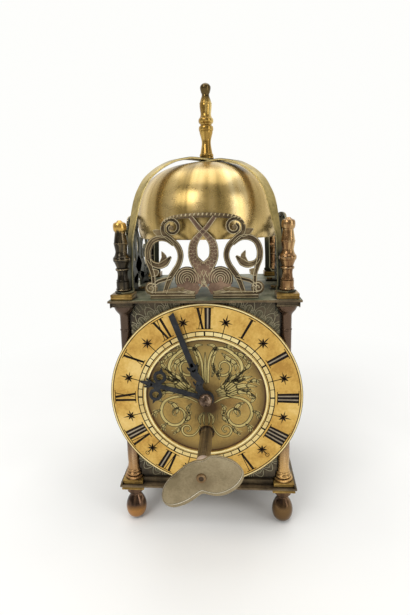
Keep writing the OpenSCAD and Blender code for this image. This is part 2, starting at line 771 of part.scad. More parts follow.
// Gear outline with tooth 0 at the angle phase; the teeth are thin, so they never jam
function tooth_points(n, m, add, ded, root, tip, phase) = let (pitch = 360 / n, r = m * n / 2)
    [for (i = [0:n - 1], k = [0:3]) let (out = k == 1 || k == 2)
        polar(r + (out ? add : -ded) * m, phase + pitch * (i + (k < 2 ? -0.5 : 0.5) * (out ? tip : root)))];

module wheel_teeth(n, m, phase) {
    polygon(tooth_points(n, m, 0.75, 1.05, 0.46, 0.2, phase));
}

module pinion(n, m, phase) {
    polygon(tooth_points(n, m, 0.6, 1.2, 0.42, 0.2, phase));
}

// Phase with a gap, not a tooth, at the angle a
function gap_at(n, a) = a + 180 / n;

module wheel(n, m, phase, hub_r, spokes, bore_r) {
    r = m * n / 2;
    rim_r = r - 1.05 * m - 1.1;
    difference() {
        wheel_teeth(n, m, phase);
        difference() {
            circle(r = rim_r);
            circle(r = hub_r);
            for (i = [0:spokes - 1]) rotate(360 * i / spokes) translate([0, -0.6]) square([r, 1.2]);
        }
        circle(r = bore_r);
    }
}

module geared(p, y0, t) {
    layer(y0, y0 + t) translate(p) children();
}

pivot_places = [p_third, p_fourth, p_escape, p_lever, p_balance];

module movement_plate(y0) {
    y1 = y0 + movement_plate_t;
    difference() {
        translate([movement_x - movement_w / 2, y0, movement_z - movement_h / 2])
            cube([movement_w, movement_plate_t, movement_h]);
        rod(p_centre, centre_r + run, y0 - 1, y1 + 1);
        rod(p_barrel, barrel_arbor_r + run, y0 - 1, y1 + 1);
        for (p = pivot_places) rod(p, pivot_r + run, y0 - 1, y1 + 1);
        for (p = pillars) rod(p, bolt_r + peg, y0 - 1, y1 + 1);
    }
}

module movement_front_plate() {
    color([0.78, 0.66, 0.36]) difference() {
        movement_plate(y_mfront);
        for (p = posts) rod(p, bolt_r + peg, y_mfront - 1, y_mfront_in + 1);
        rod(p_minute, bolt_r + peg, y_mfront - 1, y_mfront_in + 1);
        for (p = [click_place, spring_foot]) rod(p, screw_r + peg, y_mfront - 1, y_mfront_in + 1);
        rod(spring_stud, screw_r + peg, y_mfront - 1, y_mfront_in + 1);
    }
}

module movement_back_plate() {
    color([0.78, 0.66, 0.36]) movement_plate(y_mback);
}

module movement_pillars() {
    color([0.72, 0.60, 0.32]) for (p = pillars) {
        rod(p, 2.4, y_mfront_in, y_mback);
        rod(p, bolt_r, y_mfront - 0.8, y_mback_out + 0.8);
    }
}

module movement_posts() {
    color([0.70, 0.58, 0.32]) for (p = posts) {
        rod(p, 2.2, y_sheet, y_mfront);
        rod(p, bolt_r, y_front + 0.1, y_mfront_in + 1.8);
    }
}

module movement_nuts() {
    color([0.62, 0.62, 0.60]) for (p = posts)
        hex_nut(p, 2.6, bolt_r + peg, y_mfront_in, y_mfront_in + 1.5);
}

great_phase = 90;

module barrel() {
    drum_wall = 1;
    color([0.74, 0.62, 0.32]) difference() {
        union() {
            geared(p_barrel, y_great, great_t) wheel_teeth(great_n, m_great, great_phase);
            rod(p_barrel, barrel_r, y_drum - eps, y_cap);
        }
        rod(p_barrel, barrel_r - drum_wall, y_drum, y_cap + 1);
        rod(p_barrel, barrel_arbor_r + run, y_great - 1, y_cap);
    }
}

module barrel_cap() {
    color([0.78, 0.66, 0.36]) difference() {
        rod(p_barrel, barrel_r, y_cap, y_cap + cap_t);
        rod(p_barrel, barrel_arbor_r + run, y_cap - 1, y_cap + cap_t + 1);
    }
}

// A flat spiral of n turns from radius r0 out to r1
module spiral(r0, r1, turns, w) {
    steps = 18 * turns;
    ribbon([for (i = [0:steps]) polar(mix(r0, r1, i / steps), 20 * i)], [w, w], 1);
}

barrel_hub_r = 2.6;

module mainspring() {
    color([0.32, 0.34, 0.38]) geared(p_barrel, y_drum + 0.8, barrel_l - cap_t - 1.6)
        spiral(barrel_hub_r + 0.6, barrel_r - 1.4, 8, 0.5);
}

module square_on(p, w, y0, y1) {
    translate([p[0] - w / 2, y0, p[1] - w / 2]) cube([w, y1 - y0, w]);
}

module barrel_arbor() {
    color([0.62, 0.62, 0.62]) {
        rod(p_barrel, barrel_arbor_r, y_mfront - eps, y_mback_out - 0.2);
        rod(p_barrel, barrel_hub_r, y_drum + 0.3, y_cap - 0.3);
        square_on(p_barrel, square_w, y_ring + 0.4, y_mfront);
    }
}

module ratchet_outline() {
    r = ratchet_r;
    polygon([for (i = [0:ratchet_n - 1], k = [0, 1])
        polar(k == 0 ? r : r - 0.8, (360 / ratchet_n) * (i + 0.15 * k))]);
}

module ratchet_wheel() {
    color([0.58, 0.58, 0.58]) difference() {
        geared(p_barrel, y_ratchet, ratchet_t) ratchet_outline();
        square_on(p_barrel, square_w + 2 * peg, y_ratchet - 1, y_ratchet + 2);
    }
}

click_place = p_barrel + polar(9.6, 20);
spring_foot = p_barrel + polar(15.5, 62);

module click() {
    color([0.55, 0.55, 0.56]) difference() {
        geared(click_place, y_ratchet, ratchet_t) {
            circle(r = 2);
            ribbon([[0, 0], [-2.4, 1.8], [-5.2, 1.9]], [3, 2, 0.8]);
        }
        rod(click_place, screw_r + run, y_ratchet - 1, y_ratchet + 2);
    }
}

module click_screw() {
    color([0.62, 0.62, 0.62]) {
        for (p = [click_place, spring_foot]) {
            rod(p, screw_r, y_ratchet - 0.1, y_mfront_in - 0.1);
            rod(p, 1.8, y_ratchet - 0.9, y_ratchet - 0.1);
        }
    }
}

module click_spring() {
    lift = click_place + [-1.2, 3.9];
    color([0.30, 0.32, 0.36]) difference() {
        union() {
            geared(spring_foot, y_ratchet + 0.3, y_mfront - y_ratchet - 0.3) circle(r = 1.9);
            geared([0, 0], y_ratchet + 0.3, 0.8) ribbon([spring_foot, mix(spring_foot, lift, 0.5) + [1.2, 0.8],
                lift + [2.4, 0], lift], [1.2, 0.7, 0.6, 0.5]);
        }
        rod(spring_foot, screw_r + peg, y_ratchet - 1, y_mfront + 1);
    }
}

module centre_arbor() {
    color([0.62, 0.62, 0.62]) {
        rod(p_centre, centre_r, y_minute - 0.9, y_mback_out - 0.2);
        geared(p_centre, y_great - 0.4, great_t + 0.8)
            pinion(centre_pinion_n, m_great, gap_at(centre_pinion_n, great_phase + 180));
    }
}

module centre_wheel() {
    color([0.78, 0.66, 0.36]) geared(p_centre, y_centre_wheel, wheel_t)
        wheel(centre_n, m_third, third_angle, 2.4, 4, centre_r + peg);
}

module cannon_pinion() {
    color([0.60, 0.60, 0.60]) difference() {
        union() {
            rod(p_centre, cannon_pipe_r, y_minute - 0.9, y_mfront - 0.3);
            geared(p_centre, y_cannon, 2) pinion(cannon_n, m_motion, gap_at(cannon_n, motion_angle));
        }
        rod(p_centre, centre_r + peg, y_minute - 2, y_mfront + 1);
    }
}

module minute_wheel() {
    back = motion_angle + 180;
    color([0.76, 0.64, 0.34]) difference() {
        union() {
            geared(p_minute, y_minute_wheel, 1) wheel_teeth(minute_n, m_motion, back);
            geared(p_minute, y_hour_wheel - 0.3, y_minute_wheel - y_hour_wheel + 0.3 + eps)
                pinion(minute_pinion_n, m_hour, gap_at(minute_pinion_n, back));
        }
        rod(p_minute, bolt_r + run, y_sheet, y_mfront);
    }
}

module minute_wheel_stud() {
    color([0.62, 0.62, 0.62]) {
        rod(p_minute, bolt_r, y_sheet + 0.4, y_mfront_in - 0.1);
        rod(p_minute, 1.7, y_minute_wheel + 1 + run, y_mfront);
    }
}

module hour_wheel() {
    color([0.78, 0.66, 0.36]) difference() {
        union() {
            geared(p_centre, y_hour_wheel, 1) wheel_teeth(hour_n, m_hour, motion_angle);
            rod(p_centre, hour_pipe_r, y_hour - 0.1, y_hour_wheel + eps);
        }
        rod(p_centre, cannon_pipe_r + run, y_hour - 1, y_hour_wheel + 2);
    }
}

module train_arbor(p, y0, y1) {
    rod(p, arbor_r, y_mfront_in + 0.2, y_mback - 0.2);
    rod(p, pivot_r, y_mfront + 0.1, y_mback_out - 0.1);
}

module third_wheel() {
    color([0.76, 0.66, 0.40]) {
        train_arbor(p_third);
        geared(p_third, y_centre_wheel - 0.4, wheel_t + 0.8)
            pinion(third_pinion_n, m_third, gap_at(third_pinion_n, third_angle + 180));
        geared(p_third, y_third_wheel, wheel_t) wheel(third_n, m_fourth, fourth_angle, 2.2, 4, pivot_r);
    }
}

module fourth_wheel() {
    color([0.76, 0.66, 0.40]) {
        train_arbor(p_fourth);
        geared(p_fourth, y_third_wheel - 0.4, wheel_t + 0.8)
            pinion(fourth_pinion_n, m_fourth, gap_at(fourth_pinion_n, fourth_angle + 180));
        geared(p_fourth, y_fourth_wheel, wheel_t) wheel(fourth_n, m_escape, escape_angle, 2, 4, pivot_r);
    }
}

module escape_outline() {
    difference() {
        polygon([for (i = [0:escape_n - 1], k = [0:2])
            polar([escape_r, escape_r, escape_r - 1.7][k], (360 / escape_n) * (i + [0, 0.12, 0.45][k]))]);
        difference() {
            circle(r = escape_r - 2.6);
            circle(r = 1.5);
            for (i = [0:3]) rotate(90 * i) translate([0, -0.4]) square([escape_r, 0.8]);
        }
    }
}

module escape_wheel() {
    color([0.80, 0.70, 0.44]) {
        train_arbor(p_escape);
        geared(p_escape, y_fourth_wheel - 0.4, wheel_t + 0.8)
            pinion(escape_pinion_n, m_escape, gap_at(escape_pinion_n, escape_angle + 180));
        geared(p_escape, y_escape_wheel, wheel_t) escape_outline();
    }
}

module lever() {
    pallet_r = escape_r + 0.65;
    pallet_pin = 0.3;
    away = polar(lever_reach, lever_angle);
    pins = [for (s = [-1, 1]) polar(pallet_r, lever_angle + s * 35) - away];
    fork = balance_reach - 2.2;
    color([0.55, 0.56, 0.58]) {
        train_arbor(p_lever);
        geared(p_lever, y_lever, wheel_t) {
            circle(r = 1.5);
            for (p = pins) {
                ribbon([[0, 0], p * 0.5 + polar(0.5, lever_angle), p], [1.2, 0.9, 0.7], 3);
                translate(p) circle(r = pallet_pin, $fn = 16);
            }
            rotate(lever_angle) {
                translate([0, -0.5]) square([fork, 1]);
                for (s = [-1, 1]) ribbon([[fork - 0.6, 0], [fork, s * 0.7], [fork + 0.8, s * 0.8]],
                    [0.9, 0.6, 0.5], 3);
            }
        }
    }
}

module balance_wheel() {
    color([0.80, 0.70, 0.42]) difference() {
        rod(p_balance, balance_r, y_balance, y_balance + wheel_t);
        difference() {
            rod(p_balance, balance_r - 1.3, y_balance - 1, y_balance + 2);
            rod(p_balance, 1.9, y_balance - 1, y_balance + 2);
            translate([p_balance[0] - balance_r, y_balance - 1, p_balance[1] - 0.6])
                cube([2 * balance_r, 3, 1.2]);
        }
        rod(p_balance, arbor_r + peg, y_balance - 1, y_balance + 2);
    }
}

module balance_staff() {
    impulse = p_balance - polar(1.6, lever_angle);
    color([0.60, 0.61, 0.63]) {
        train_arbor(p_balance);
        rod(p_balance, 2.3, y_roller, y_roller + 0.6);
        rod(impulse, 0.3, y_roller, y_lever - 0.15);
    }
}

spring_stud = p_balance + [5.6, 0];

module hairspring() {
    color([0.25, 0.30, 0.42]) geared(p_balance, y_spring, 0.7) {
        spiral(arbor_r + 0.4, 5, 6, 0.22);
        translate([4.9, -0.15]) square([0.9, 0.3]);
    }
}

module hairspring_stud() {
    color([0.60, 0.60, 0.60]) difference() {
        union() {
            rod(spring_stud, 0.9, y_mfront_in, y_spring + 1.1);
            rod(spring_stud, screw_r, y_mfront + 0.2, y_mfront_in + eps);
        }
        // Room for the spring's last turn and its end
        translate([spring_stud[0] - 1, y_spring - 0.05, spring_stud[1] - 1]) cube([0.6, 0.8, 2]);
        translate([spring_stud[0] - 1, y_spring - 0.05, spring_stud[1] - 0.2]) cube([1.3, 0.8, 0.4]);
    }
}

// The winding key, on the barrel arbor's square

module key_pipe() {
    seat = y_ring + 0.4;
    color([0.50, 0.42, 0.32]) difference() {
        rod(p_barrel, key_pipe_d / 2, y_key_out, y_key_in);
        square_on(p_barrel, square_w + 2 * run, seat - 3, y_key_in + 1);
        rod(p_barrel, 1.2, y_key_out - 1, y_key_out + 4);
    }
}

// Outline of the key's wing from the pipe's axis, its long way level
wing = [[-0.1, 8.7], [-4.1, 8.2], [-8.3, 6.6], [-12.4, 4.9], [-15.7, 3.1], [-18.4, 0.7],
    [-20.3, -2.2], [-21, -5.3], [-20.1, -8.1], [-17.6, -10], [-13.7, -10.4], [-9.4, -9.8],
    [-5.3, -8.5], [-2.2, -7.6], [0.4, -9.2], [3.6, -10.9], [7.4, -11.4], [11.8, -10.6],
    [15.5, -8.7], [17.9, -6.3], [18.9, -3.5], [18.2, 0.1], [16.3, 3.4], [13.5, 5.9], [10.6, 7.8],
    [7.5, 8.7], [3.7, 8.1]];

module key_wing() {
    color([0.62, 0.60, 0.50]) difference() {
        geared(p_barrel, y_wing, key_wing_t) rotate(key_tilt) polygon(smooth(concat(wing, [wing[0]]), 3));
        rod(p_barrel, 1.2, y_wing - 1, y_key_out + 1);
    }
}

module key_rivet() {
    color([0.55, 0.47, 0.30]) {
        rod(p_barrel, 1.16, y_wing - eps, y_key_out + 3.8);
        difference() {
            rod(p_barrel, 2.3, y_wing - rivet_head, y_wing);
            rod(p_barrel, 0.9, y_wing - rivet_head - 1, y_wing - rivet_head + 0.4);
        }
    }
}

place() bottom_plate();
place() top_plate();
place() plinth_mouldings();
place() cornice_mouldings();
place() columns();
place() feet();
place() finial_bases();
place() corner_finials();
place() front_plate();
place() left_panel();
place() right_panel();
place() back_door();
place() door_pins();
place() door_knob();
place() front_fret();
place() left_fret();
place() right_fret();
place() fret_screws();
place() bell();
place() upper_strap();
place() lower_strap();
place() top_finial();
place() bell_nut();
place() chapter_ring();
place() dial_centre();
place() dial_feet();
place() dial_nuts();
place() hour_hand();
place() minute_hand();
place() hand_nut();
place() movement_front_plate();
place() movement_back_plate();
place() movement_pillars();
place() movement_posts();
place() movement_nuts();
place() barrel();
place() barrel_cap();
place() mainspring();
place() barrel_arbor();
place() ratchet_wheel();
place() click();
place() click_screw();
place() click_spring();
place() centre_arbor();
place() centre_wheel();
place() cannon_pinion();
place() minute_wheel();
place() minute_wheel_stud();
place() hour_wheel();
place() third_wheel();
place() fourth_wheel();
place() escape_wheel();
place() lever();
place() balance_wheel();
place() balance_staff();
place() hairspring();
place() hairspring_stud();
place() key_pipe();
place() key_wing();
place() key_rivet();
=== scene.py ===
"""Looks of the lantern clock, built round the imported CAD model. Lengths in this file are millimetres."""
import math

import bmesh
import bpy
from mathutils import Matrix, Vector


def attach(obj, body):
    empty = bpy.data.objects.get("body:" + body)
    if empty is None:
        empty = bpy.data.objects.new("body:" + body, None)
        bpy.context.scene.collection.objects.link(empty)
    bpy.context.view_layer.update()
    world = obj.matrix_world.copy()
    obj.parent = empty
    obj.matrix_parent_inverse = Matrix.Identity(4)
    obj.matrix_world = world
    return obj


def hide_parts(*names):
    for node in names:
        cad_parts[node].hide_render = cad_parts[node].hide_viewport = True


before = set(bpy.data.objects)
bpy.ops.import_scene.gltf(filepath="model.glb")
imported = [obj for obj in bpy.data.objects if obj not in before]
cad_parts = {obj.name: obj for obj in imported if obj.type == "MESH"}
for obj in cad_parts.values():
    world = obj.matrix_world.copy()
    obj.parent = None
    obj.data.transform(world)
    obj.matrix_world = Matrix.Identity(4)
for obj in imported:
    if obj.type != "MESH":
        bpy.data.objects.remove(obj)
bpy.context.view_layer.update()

# The CAD's main sizes, in the clock's own coordinates: y = 0 is the middle of the column square
MID_Y = 18.3
C = 42.0
FOOT_H, PAD_T = 22.8, 2.0
Z_LOW, Z_HIGH, Z_TOP = 24.0, 127.8, 129.0
PLATE = 49.0
BLOCK = 5.6
Y_RING, Y_RING_BACK = -46.9, -45.6
Y_FRONT, Y_SHEET = -43.5, -42.3
Y_HOUR, Y_MINUTE = -48.2, -49.5
DIAL_Z, HOLE_Z = 76.2, 55.2
STRAP_Z, BELL_TOP, BELL_RIM = 202.5, 200.1, 158.5
Y_WING = -86.3


def sin(a):
    return math.sin(math.radians(a))


def cos(a):
    return math.cos(math.radians(a))


def lerp(a, b, t):
    return a + (b - a) * t


def polar(r, a):
    return (r * cos(a), r * sin(a))


def around(centre, r, a):
    """The point at a distance and an angle from a centre."""
    return (centre[0] + r * cos(a), centre[1] + r * sin(a))


def heading(p, i):
    """The angle in which a line of points runs at its i-th point."""
    return math.degrees(math.atan2(p[i + 1][1] - p[i - 1][1], p[i + 1][0] - p[i - 1][0]))


def rgb(r, g, b):
    """A colour given as it looks on a screen, 0 to 255, as linear light."""
    return tuple(((v / 255 + 0.055) / 1.055) ** 2.4 if v > 10 else v / 255 / 12.92 for v in
        (r, g, b)) + (1,)


# Materials

def node(tree, kind, **sockets):
    n = tree.nodes.new(kind)
    for key, value in sockets.items():
        n.inputs[key.replace("_", " ")].default_value = value
    return n


def maths(tree, kind, *values):
    n = tree.nodes.new("ShaderNodeMath")
    n.operation = kind
    for value, socket in zip(values, n.inputs):
        if isinstance(value, bpy.types.NodeSocket):
            tree.links.new(value, socket)
        else:
            socket.default_value = value
    return n.outputs[0]


def vector(tree, kind, *values):
    n = tree.nodes.new("ShaderNodeVectorMath")
    n.operation = kind
    for value, socket in zip(values, n.inputs):
        if isinstance(value, bpy.types.NodeSocket):
            tree.links.new(value, socket)
        else:
            socket.default_value = value
    return n.outputs["Value"] if kind == "LENGTH" else n.outputs["Vector"]


def noise(tree, coords, scale, detail=4, rough=0.6):
    n = node(tree, "ShaderNodeTexNoise", Scale=scale, Detail=detail, Roughness=rough)
    tree.links.new(coords, n.inputs["Vector"])
    return n.outputs["Fac"]


def ramp(tree, fac, stops):
    r = tree.nodes.new("ShaderNodeValToRGB")
    while len(r.color_ramp.elements) < len(stops):
        r.color_ramp.elements.new(0.5)
    for element, (place_at, colour) in zip(r.color_ramp.elements, stops):
        element.position = place_at
        element.color = colour
    tree.links.new(fac, r.inputs["Fac"])
    return r.outputs["Color"]


def wobbled(tree, fac, amount, value):
    """A value moved up and down by a noise whose middle is 0.5."""
    return maths(tree, "MULTIPLY_ADD", maths(tree, "SUBTRACT", fac, 0.5), amount, value)


def grey(v):
    return (v, v, v, 1)


def mixed(tree, fac, a, b):
    m = tree.nodes.new("ShaderNodeMix")
    m.data_type = "RGBA"
    for value, socket in ((fac, m.inputs[0]), (a, m.inputs[6]), (b, m.inputs[7])):
        if isinstance(value, bpy.types.NodeSocket):
            tree.links.new(value, socket)
        else:
            socket.default_value = value
    return m.outputs[2]


def round_the_axis(tree, axis, count, along):
    """Coordinates that run round a turned piece, so that noise on them makes streaks along its axis."""
    own = tree.nodes.new("ShaderNodeTexCoord").outputs["Generated"]
    own = vector(tree, "SUBTRACT", own, (0.5, 0.5, 0.5))
    flat_on, run = ((1, 1, 0), (0, 0, along)) if axis == "z" else ((1, 0, 1), (0, along, 0))
    across = vector(tree, "NORMALIZE", vector(tree, "MULTIPLY", own, flat_on))
    return vector(tree, "ADD", vector(tree, "MULTIPLY", across, (count, count, count)),
        vector(tree, "MULTIPLY", own, run))


M, SLOT = {}, {}


def metal(name, slot, *stops, rough=(0.28, 0.5), scale=90, fine=700, bump=0.15, grime_and_shade=None, grime_and_shade_mm=2.0,
        grime_and_shade_at=(0.4, 0.92), metallic=0.9, grain=0.35, streaks=None, parts=(), spots=(), rim=None):
    """Aged metal: a mottled colour, uneven polish, fine scratches, and darkening in the hollows, partly real
    soiling and partly painted shade.

    parts: (colour, from, to) along the piece's height, some of them painted highlights; spots: (colour,
    centre, radii, strength) in the clock, stains and painted shadows; rim: (colour, radius where it starts,
    radius, strength) round the dial's centre, a painted shade towards the rim."""
    mat = bpy.data.materials.new(name)
    mat.use_nodes = True
    t = mat.node_tree
    bsdf = t.nodes["Principled BSDF"]
    coords = t.nodes.new("ShaderNodeTexCoord").outputs["Object"]
    big = noise(t, round_the_axis(t, *streaks), 1, 3, 0.55) if streaks else noise(t, coords, scale, 5, 0.65)
    small = noise(t, coords, fine, 3, 0.7)
    fac = maths(t, "MULTIPLY_ADD", small, grain, maths(t, "SUBTRACT", big, grain / 2))
    places = [lerp(0.34, 0.68, k / (len(stops) - 1)) for k in range(len(stops))]
    colour = ramp(t, fac, list(zip(places, (rgb(*s) for s in stops))))
    if parts:
        split = t.nodes.new("ShaderNodeSeparateXYZ")
        t.links.new(t.nodes.new("ShaderNodeTexCoord").outputs["Generated"], split.inputs[0])
        level = wobbled(t, big, 0.16, split.outputs["Z"])
        for tone, start, end in parts:
            share = ramp(t, level, [(min(start, end), grey(start > end)),
                (max(start, end), grey(end > start))])
            colour = mixed(t, share, colour, rgb(*tone))
    where = t.nodes.new("ShaderNodeNewGeometry").outputs["Position"] if spots or rim else None
    if rim:
        off = vector(t, "SUBTRACT", where, (0, 0, DIAL_Z / 1000))
        far = vector(t, "LENGTH", vector(t, "MULTIPLY", off, (1, 0, 1)))
        far = wobbled(t, big, 0.004, far)
        share = ramp(t, maths(t, "MULTIPLY", far, 20), [(rim[1] / 50, grey(0)),
            (rim[2] / 50, grey(rim[3]))])
        colour = mixed(t, share, colour, rgb(*rim[0]))
    for tone, centre, radii, strength in spots:
        off = vector(t, "SUBTRACT", where, tuple(v / 1000 for v in (centre[0], centre[1] + MID_Y,
            centre[2])))
        far = vector(t, "LENGTH", vector(t, "MULTIPLY", off, tuple(1000 / r for r in radii)))
        far = wobbled(t, big, 0.9, far)
        share = ramp(t, far, [(0.3, grey(strength)), (0.65, grey(strength * 0.55)), (1, grey(0))])
        colour = mixed(t, share, colour, rgb(*tone))
    # Darkening in the hollows by an ambient occlusion mask: painted shade together with real soiling
    if grime_and_shade:
        ao = node(t, "ShaderNodeAmbientOcclusion", Distance=grime_and_shade_mm / 1000)
        ao.samples = 6
        grime_and_shade_mask = ramp(t, ao.outputs["AO"], [(grime_and_shade_at[0], grey(1)), (grime_and_shade_at[1], grey(0))])
        colour = mixed(t, grime_and_shade_mask, colour, rgb(*grime_and_shade))
    t.links.new(colour, bsdf.inputs["Base Color"])
    bsdf.inputs["Metallic"].default_value = metallic
    t.links.new(ramp(t, small, [(0.3, grey(rough[0])), (0.75, grey(rough[1]))]), bsdf.inputs["Roughness"])
    b = node(t, "ShaderNodeBump", Strength=bump, Distance=0.0002)
    t.links.new(small, b.inputs["Height"])
    t.links.new(b.outputs["Normal"], bsdf.inputs["Normal"])
    if metallic == 0:
        bsdf.inputs["Specular IOR Level"].default_value = 0.15
    M[name], SLOT[name] = mat, slot


# Stains, and on the dial painted shadows of the hands and nut: colour, centre, radii and strength
DIAL_STAINS_AND_SHADOWS = (
    ((128, 112, 62), (0, Y_RING_BACK, DIAL_Z + 18), (30, 40, 14), 0.5),  # olive at the top
    ((66, 44, 22), (2, Y_RING_BACK, DIAL_Z - 5), (13, 40, 17), 0.95),  # brown under the nut, a stain with the painted shadow of the nut and hands
    # painted shadow of the hands, up and left of the nut
    ((84, 58, 30), (-5, Y_RING_BACK, DIAL_Z + 8), (11, 40, 12), 0.6),
    ((110, 74, 36), (15, Y_RING_BACK, DIAL_Z - 4), (13, 40, 7), 0.5))
WING_STAINS = (
    ((80, 64, 36), (-20.5, Y_WING, HOLE_Z - 6), (3.4, 30, 6), 0.85),  # along the upper left edge
    ((80, 64, 36), (-14, Y_WING, HOLE_Z + 1.5), (5, 30, 2.4), 0.7),
    ((98, 80, 50), (1, Y_WING, HOLE_Z - 2), (7, 30, 6), 0.45))
# Settings that several materials share
CUT = {"rough": (0.5, 0.7), "metallic": 0.2}
CAST = {"scale": 110, "bump": 0.2, "metallic": 0.6, "grime_and_shade_mm": 1.0}
SHAFT = {"rough": (0.2, 0.34), "bump": 0.02, "metallic": 0.8, "grain": 0.1, "streaks": ("z", 2.2, 4),
    "grime_and_shade_mm": 1.5}
TURNED = {"bump": 0.015, "metallic": 0.85, "streaks": ("z", 1.6, 2)}
FINIAL = {**TURNED, "rough": (0.15, 0.3), "grain": 0.15, "grime_and_shade_mm": 1.2}
EGG = {**TURNED, "rough": (0.12, 0.25), "grain": 0.2, "grime_and_shade_mm": 1.5}
metal("gilt", "gold", (178, 134, 58), (204, 162, 78), (220, 182, 98), (232, 200, 126), rough=(0.4, 0.6),
    scale=42, bump=0.12, metallic=0.5)
# Bright bands at the chapter ring's edges: a painted highlight
metal("gilt_edge_highlight", "gold", (226, 200, 132), (248, 232, 172), rough=(0.3, 0.45), bump=0.05, metallic=0.5)
metal("gilt_track", "gold", (206, 176, 108), (226, 202, 136), (240, 222, 160), rough=(0.4, 0.6), scale=60,
    bump=0.1, metallic=0.45)
# The dial middle darkens towards its rim: a painted shade by the chapter ring's inner edge
metal("dial_middle", "gold", (150, 122, 64), (176, 146, 78), (190, 160, 90), rough=(0.42, 0.62), scale=48,
    bump=0.25, metallic=0.45, rim=((70, 48, 24), 25, 31.5, 0.75), spots=DIAL_STAINS_AND_SHADOWS)
metal("dial_shade", "gold", (62, 42, 20), (96, 66, 32), **CUT)
metal("engraved_light", "gold", (178, 160, 96), (206, 188, 122), rough=(0.4, 0.55), bump=0.1, metallic=0.35)
metal("engraved_dark", "gold", (64, 56, 28), (92, 80, 42), **CUT)
metal("wax", "gold", (20, 15, 12), (40, 30, 22), rough=(0.7, 0.9), metallic=0.0)
metal("smudge", "gold", (132, 118, 96), (168, 154, 130), **CUT)
metal("blued", "blued_steel", (14, 15, 18), (24, 26, 30), (44, 46, 50), rough=(0.5, 0.7), scale=200,
    bump=0.4, metallic=0.2)
metal("bell", "bell_metal", (116, 96, 50), (186, 158, 96), (214, 186, 124), (230, 208, 154),
    rough=(0.24, 0.34), bump=0.01, metallic=0.85, grain=0.08, fine=260, streaks=("z", 3, 0.4),
    grime_and_shade=(84, 70, 38), grime_and_shade_mm=3)
metal("strap", "patina_plate", (132, 116, 64), (176, 156, 96), (206, 184, 120), rough=(0.26, 0.42),
    scale=60, bump=0.1, metallic=0.8, grime_and_shade=(56, 52, 34), grime_and_shade_mm=1.5,
    parts=(((58, 60, 46), 0.5, 0.3), ((86, 82, 54), 0.94, 0.985)))
# Bright strips on the straps' edges and the upper plate's rim: a painted highlight, dimmer low down
metal("strap_edge_highlight", "patina_plate", (222, 198, 130), (250, 232, 172), rough=(0.25, 0.4), metallic=0.6,
    parts=(((128, 122, 92), 0.5, 0.3),))
metal("fret", "gold_worn", (88, 72, 50), (118, 100, 70), (150, 132, 96), rough=(0.35, 0.52),
    grime_and_shade=(48, 36, 22), **CAST)
metal("fret_fish", "gold_worn", (92, 70, 56), (122, 97, 78), (152, 124, 100), rough=(0.32, 0.5),
    grime_and_shade=(44, 32, 22), **CAST)
metal("fret_light", "gold_worn", (160, 142, 102), (198, 182, 144), (220, 206, 170), rough=(0.3, 0.45),
    metallic=0.6)
# The side frets: the fret's colours darkened, a painted shade
metal("fret_side_in_shade", "gold_worn", (44, 44, 34), (72, 72, 56), (108, 106, 84), rough=(0.4, 0.6), scale=110,
    bump=0.2, metallic=0.4, grime_and_shade=(30, 28, 20), grime_and_shade_mm=1.0)
metal("fret_dark", "gold_worn", (52, 40, 26), (80, 64, 44), **CUT)
# Columns: a lighter base that is a painted highlight, brighter on the right ones, and darker towards the top
metal("column", "copper_brown", (62, 50, 40), (102, 82, 66), (140, 114, 90), (178, 150, 118),
    grime_and_shade=(40, 30, 22), **SHAFT, parts=(((84, 68, 56), 0.45, 0.8), ((170, 130, 84), 0.2, 0.06)))
metal("column_right", "copper_brown", (62, 50, 40), (104, 86, 68), (142, 116, 90), (184, 154, 116),
    grime_and_shade=(40, 30, 20), **SHAFT, parts=(((92, 72, 56), 0.45, 0.85), ((200, 160, 100), 0.24, 0.06)))
metal("finial_dark", "copper_brown", (40, 36, 30), (70, 62, 48), (116, 100, 72), grime_and_shade=(24, 20, 15),
    **FINIAL, parts=(((200, 160, 84), 0.84, 0.88),))
metal("finial_copper", "copper_brown", (100, 70, 44), (156, 120, 78), (204, 172, 122), grime_and_shade=(56, 34, 22),
    **FINIAL)
# Bright thin rings on the crests of the corner finials' beads: painted highlights
metal("finial_ring_highlight", "gold_worn", (206, 176, 128), (240, 220, 178), rough=(0.2, 0.32), bump=0.03,
    metallic=0.7)
metal("brass_top", "gold_worn", (134, 102, 44), (190, 154, 78), (230, 202, 130), rough=(0.16, 0.28),
    bump=0.012, metallic=0.85, grain=0.1, streaks=("z", 1.6, 1.5), grime_and_shade=(78, 56, 24), grime_and_shade_mm=1.2,
    parts=(((92, 76, 44), 0.76, 0.84),))
metal("block", "gold", (98, 76, 38), (146, 116, 58), (182, 150, 84), rough=(0.3, 0.48), metallic=0.75,
    grime_and_shade=(50, 38, 20), grime_and_shade_mm=1.5)
metal("plate", "dark_iron", (66, 54, 38), (98, 82, 58), (132, 112, 82), rough=(0.4, 0.62), scale=70,
    metallic=0.5, grime_and_shade=(30, 24, 16))
metal("plate_top", "patina_plate", (66, 74, 56), (100, 106, 82), (136, 136, 108), (176, 170, 146),
    rough=(0.4, 0.62), scale=48, metallic=0.45, grime_and_shade=(40, 42, 28), grime_and_shade_mm=2.5)
metal("front", "dark_iron", (50, 42, 30), (74, 64, 47), (102, 90, 68), rough=(0.45, 0.65), scale=70,
    metallic=0.4, grime_and_shade=(26, 21, 15), grime_and_shade_mm=3)
metal("leaf_line", "dark_iron", (126, 120, 92), (178, 170, 138), rough=(0.4, 0.6), metallic=0.3)
metal("leaf_hatch", "dark_iron", (84, 84, 60), (110, 108, 80), rough=(0.5, 0.7), metallic=0.3)
metal("moulding", "dark_iron", (50, 42, 31), (80, 68, 49), (116, 100, 72), rough=(0.35, 0.55), scale=70,
    metallic=0.6, grime_and_shade=(26, 21, 14))
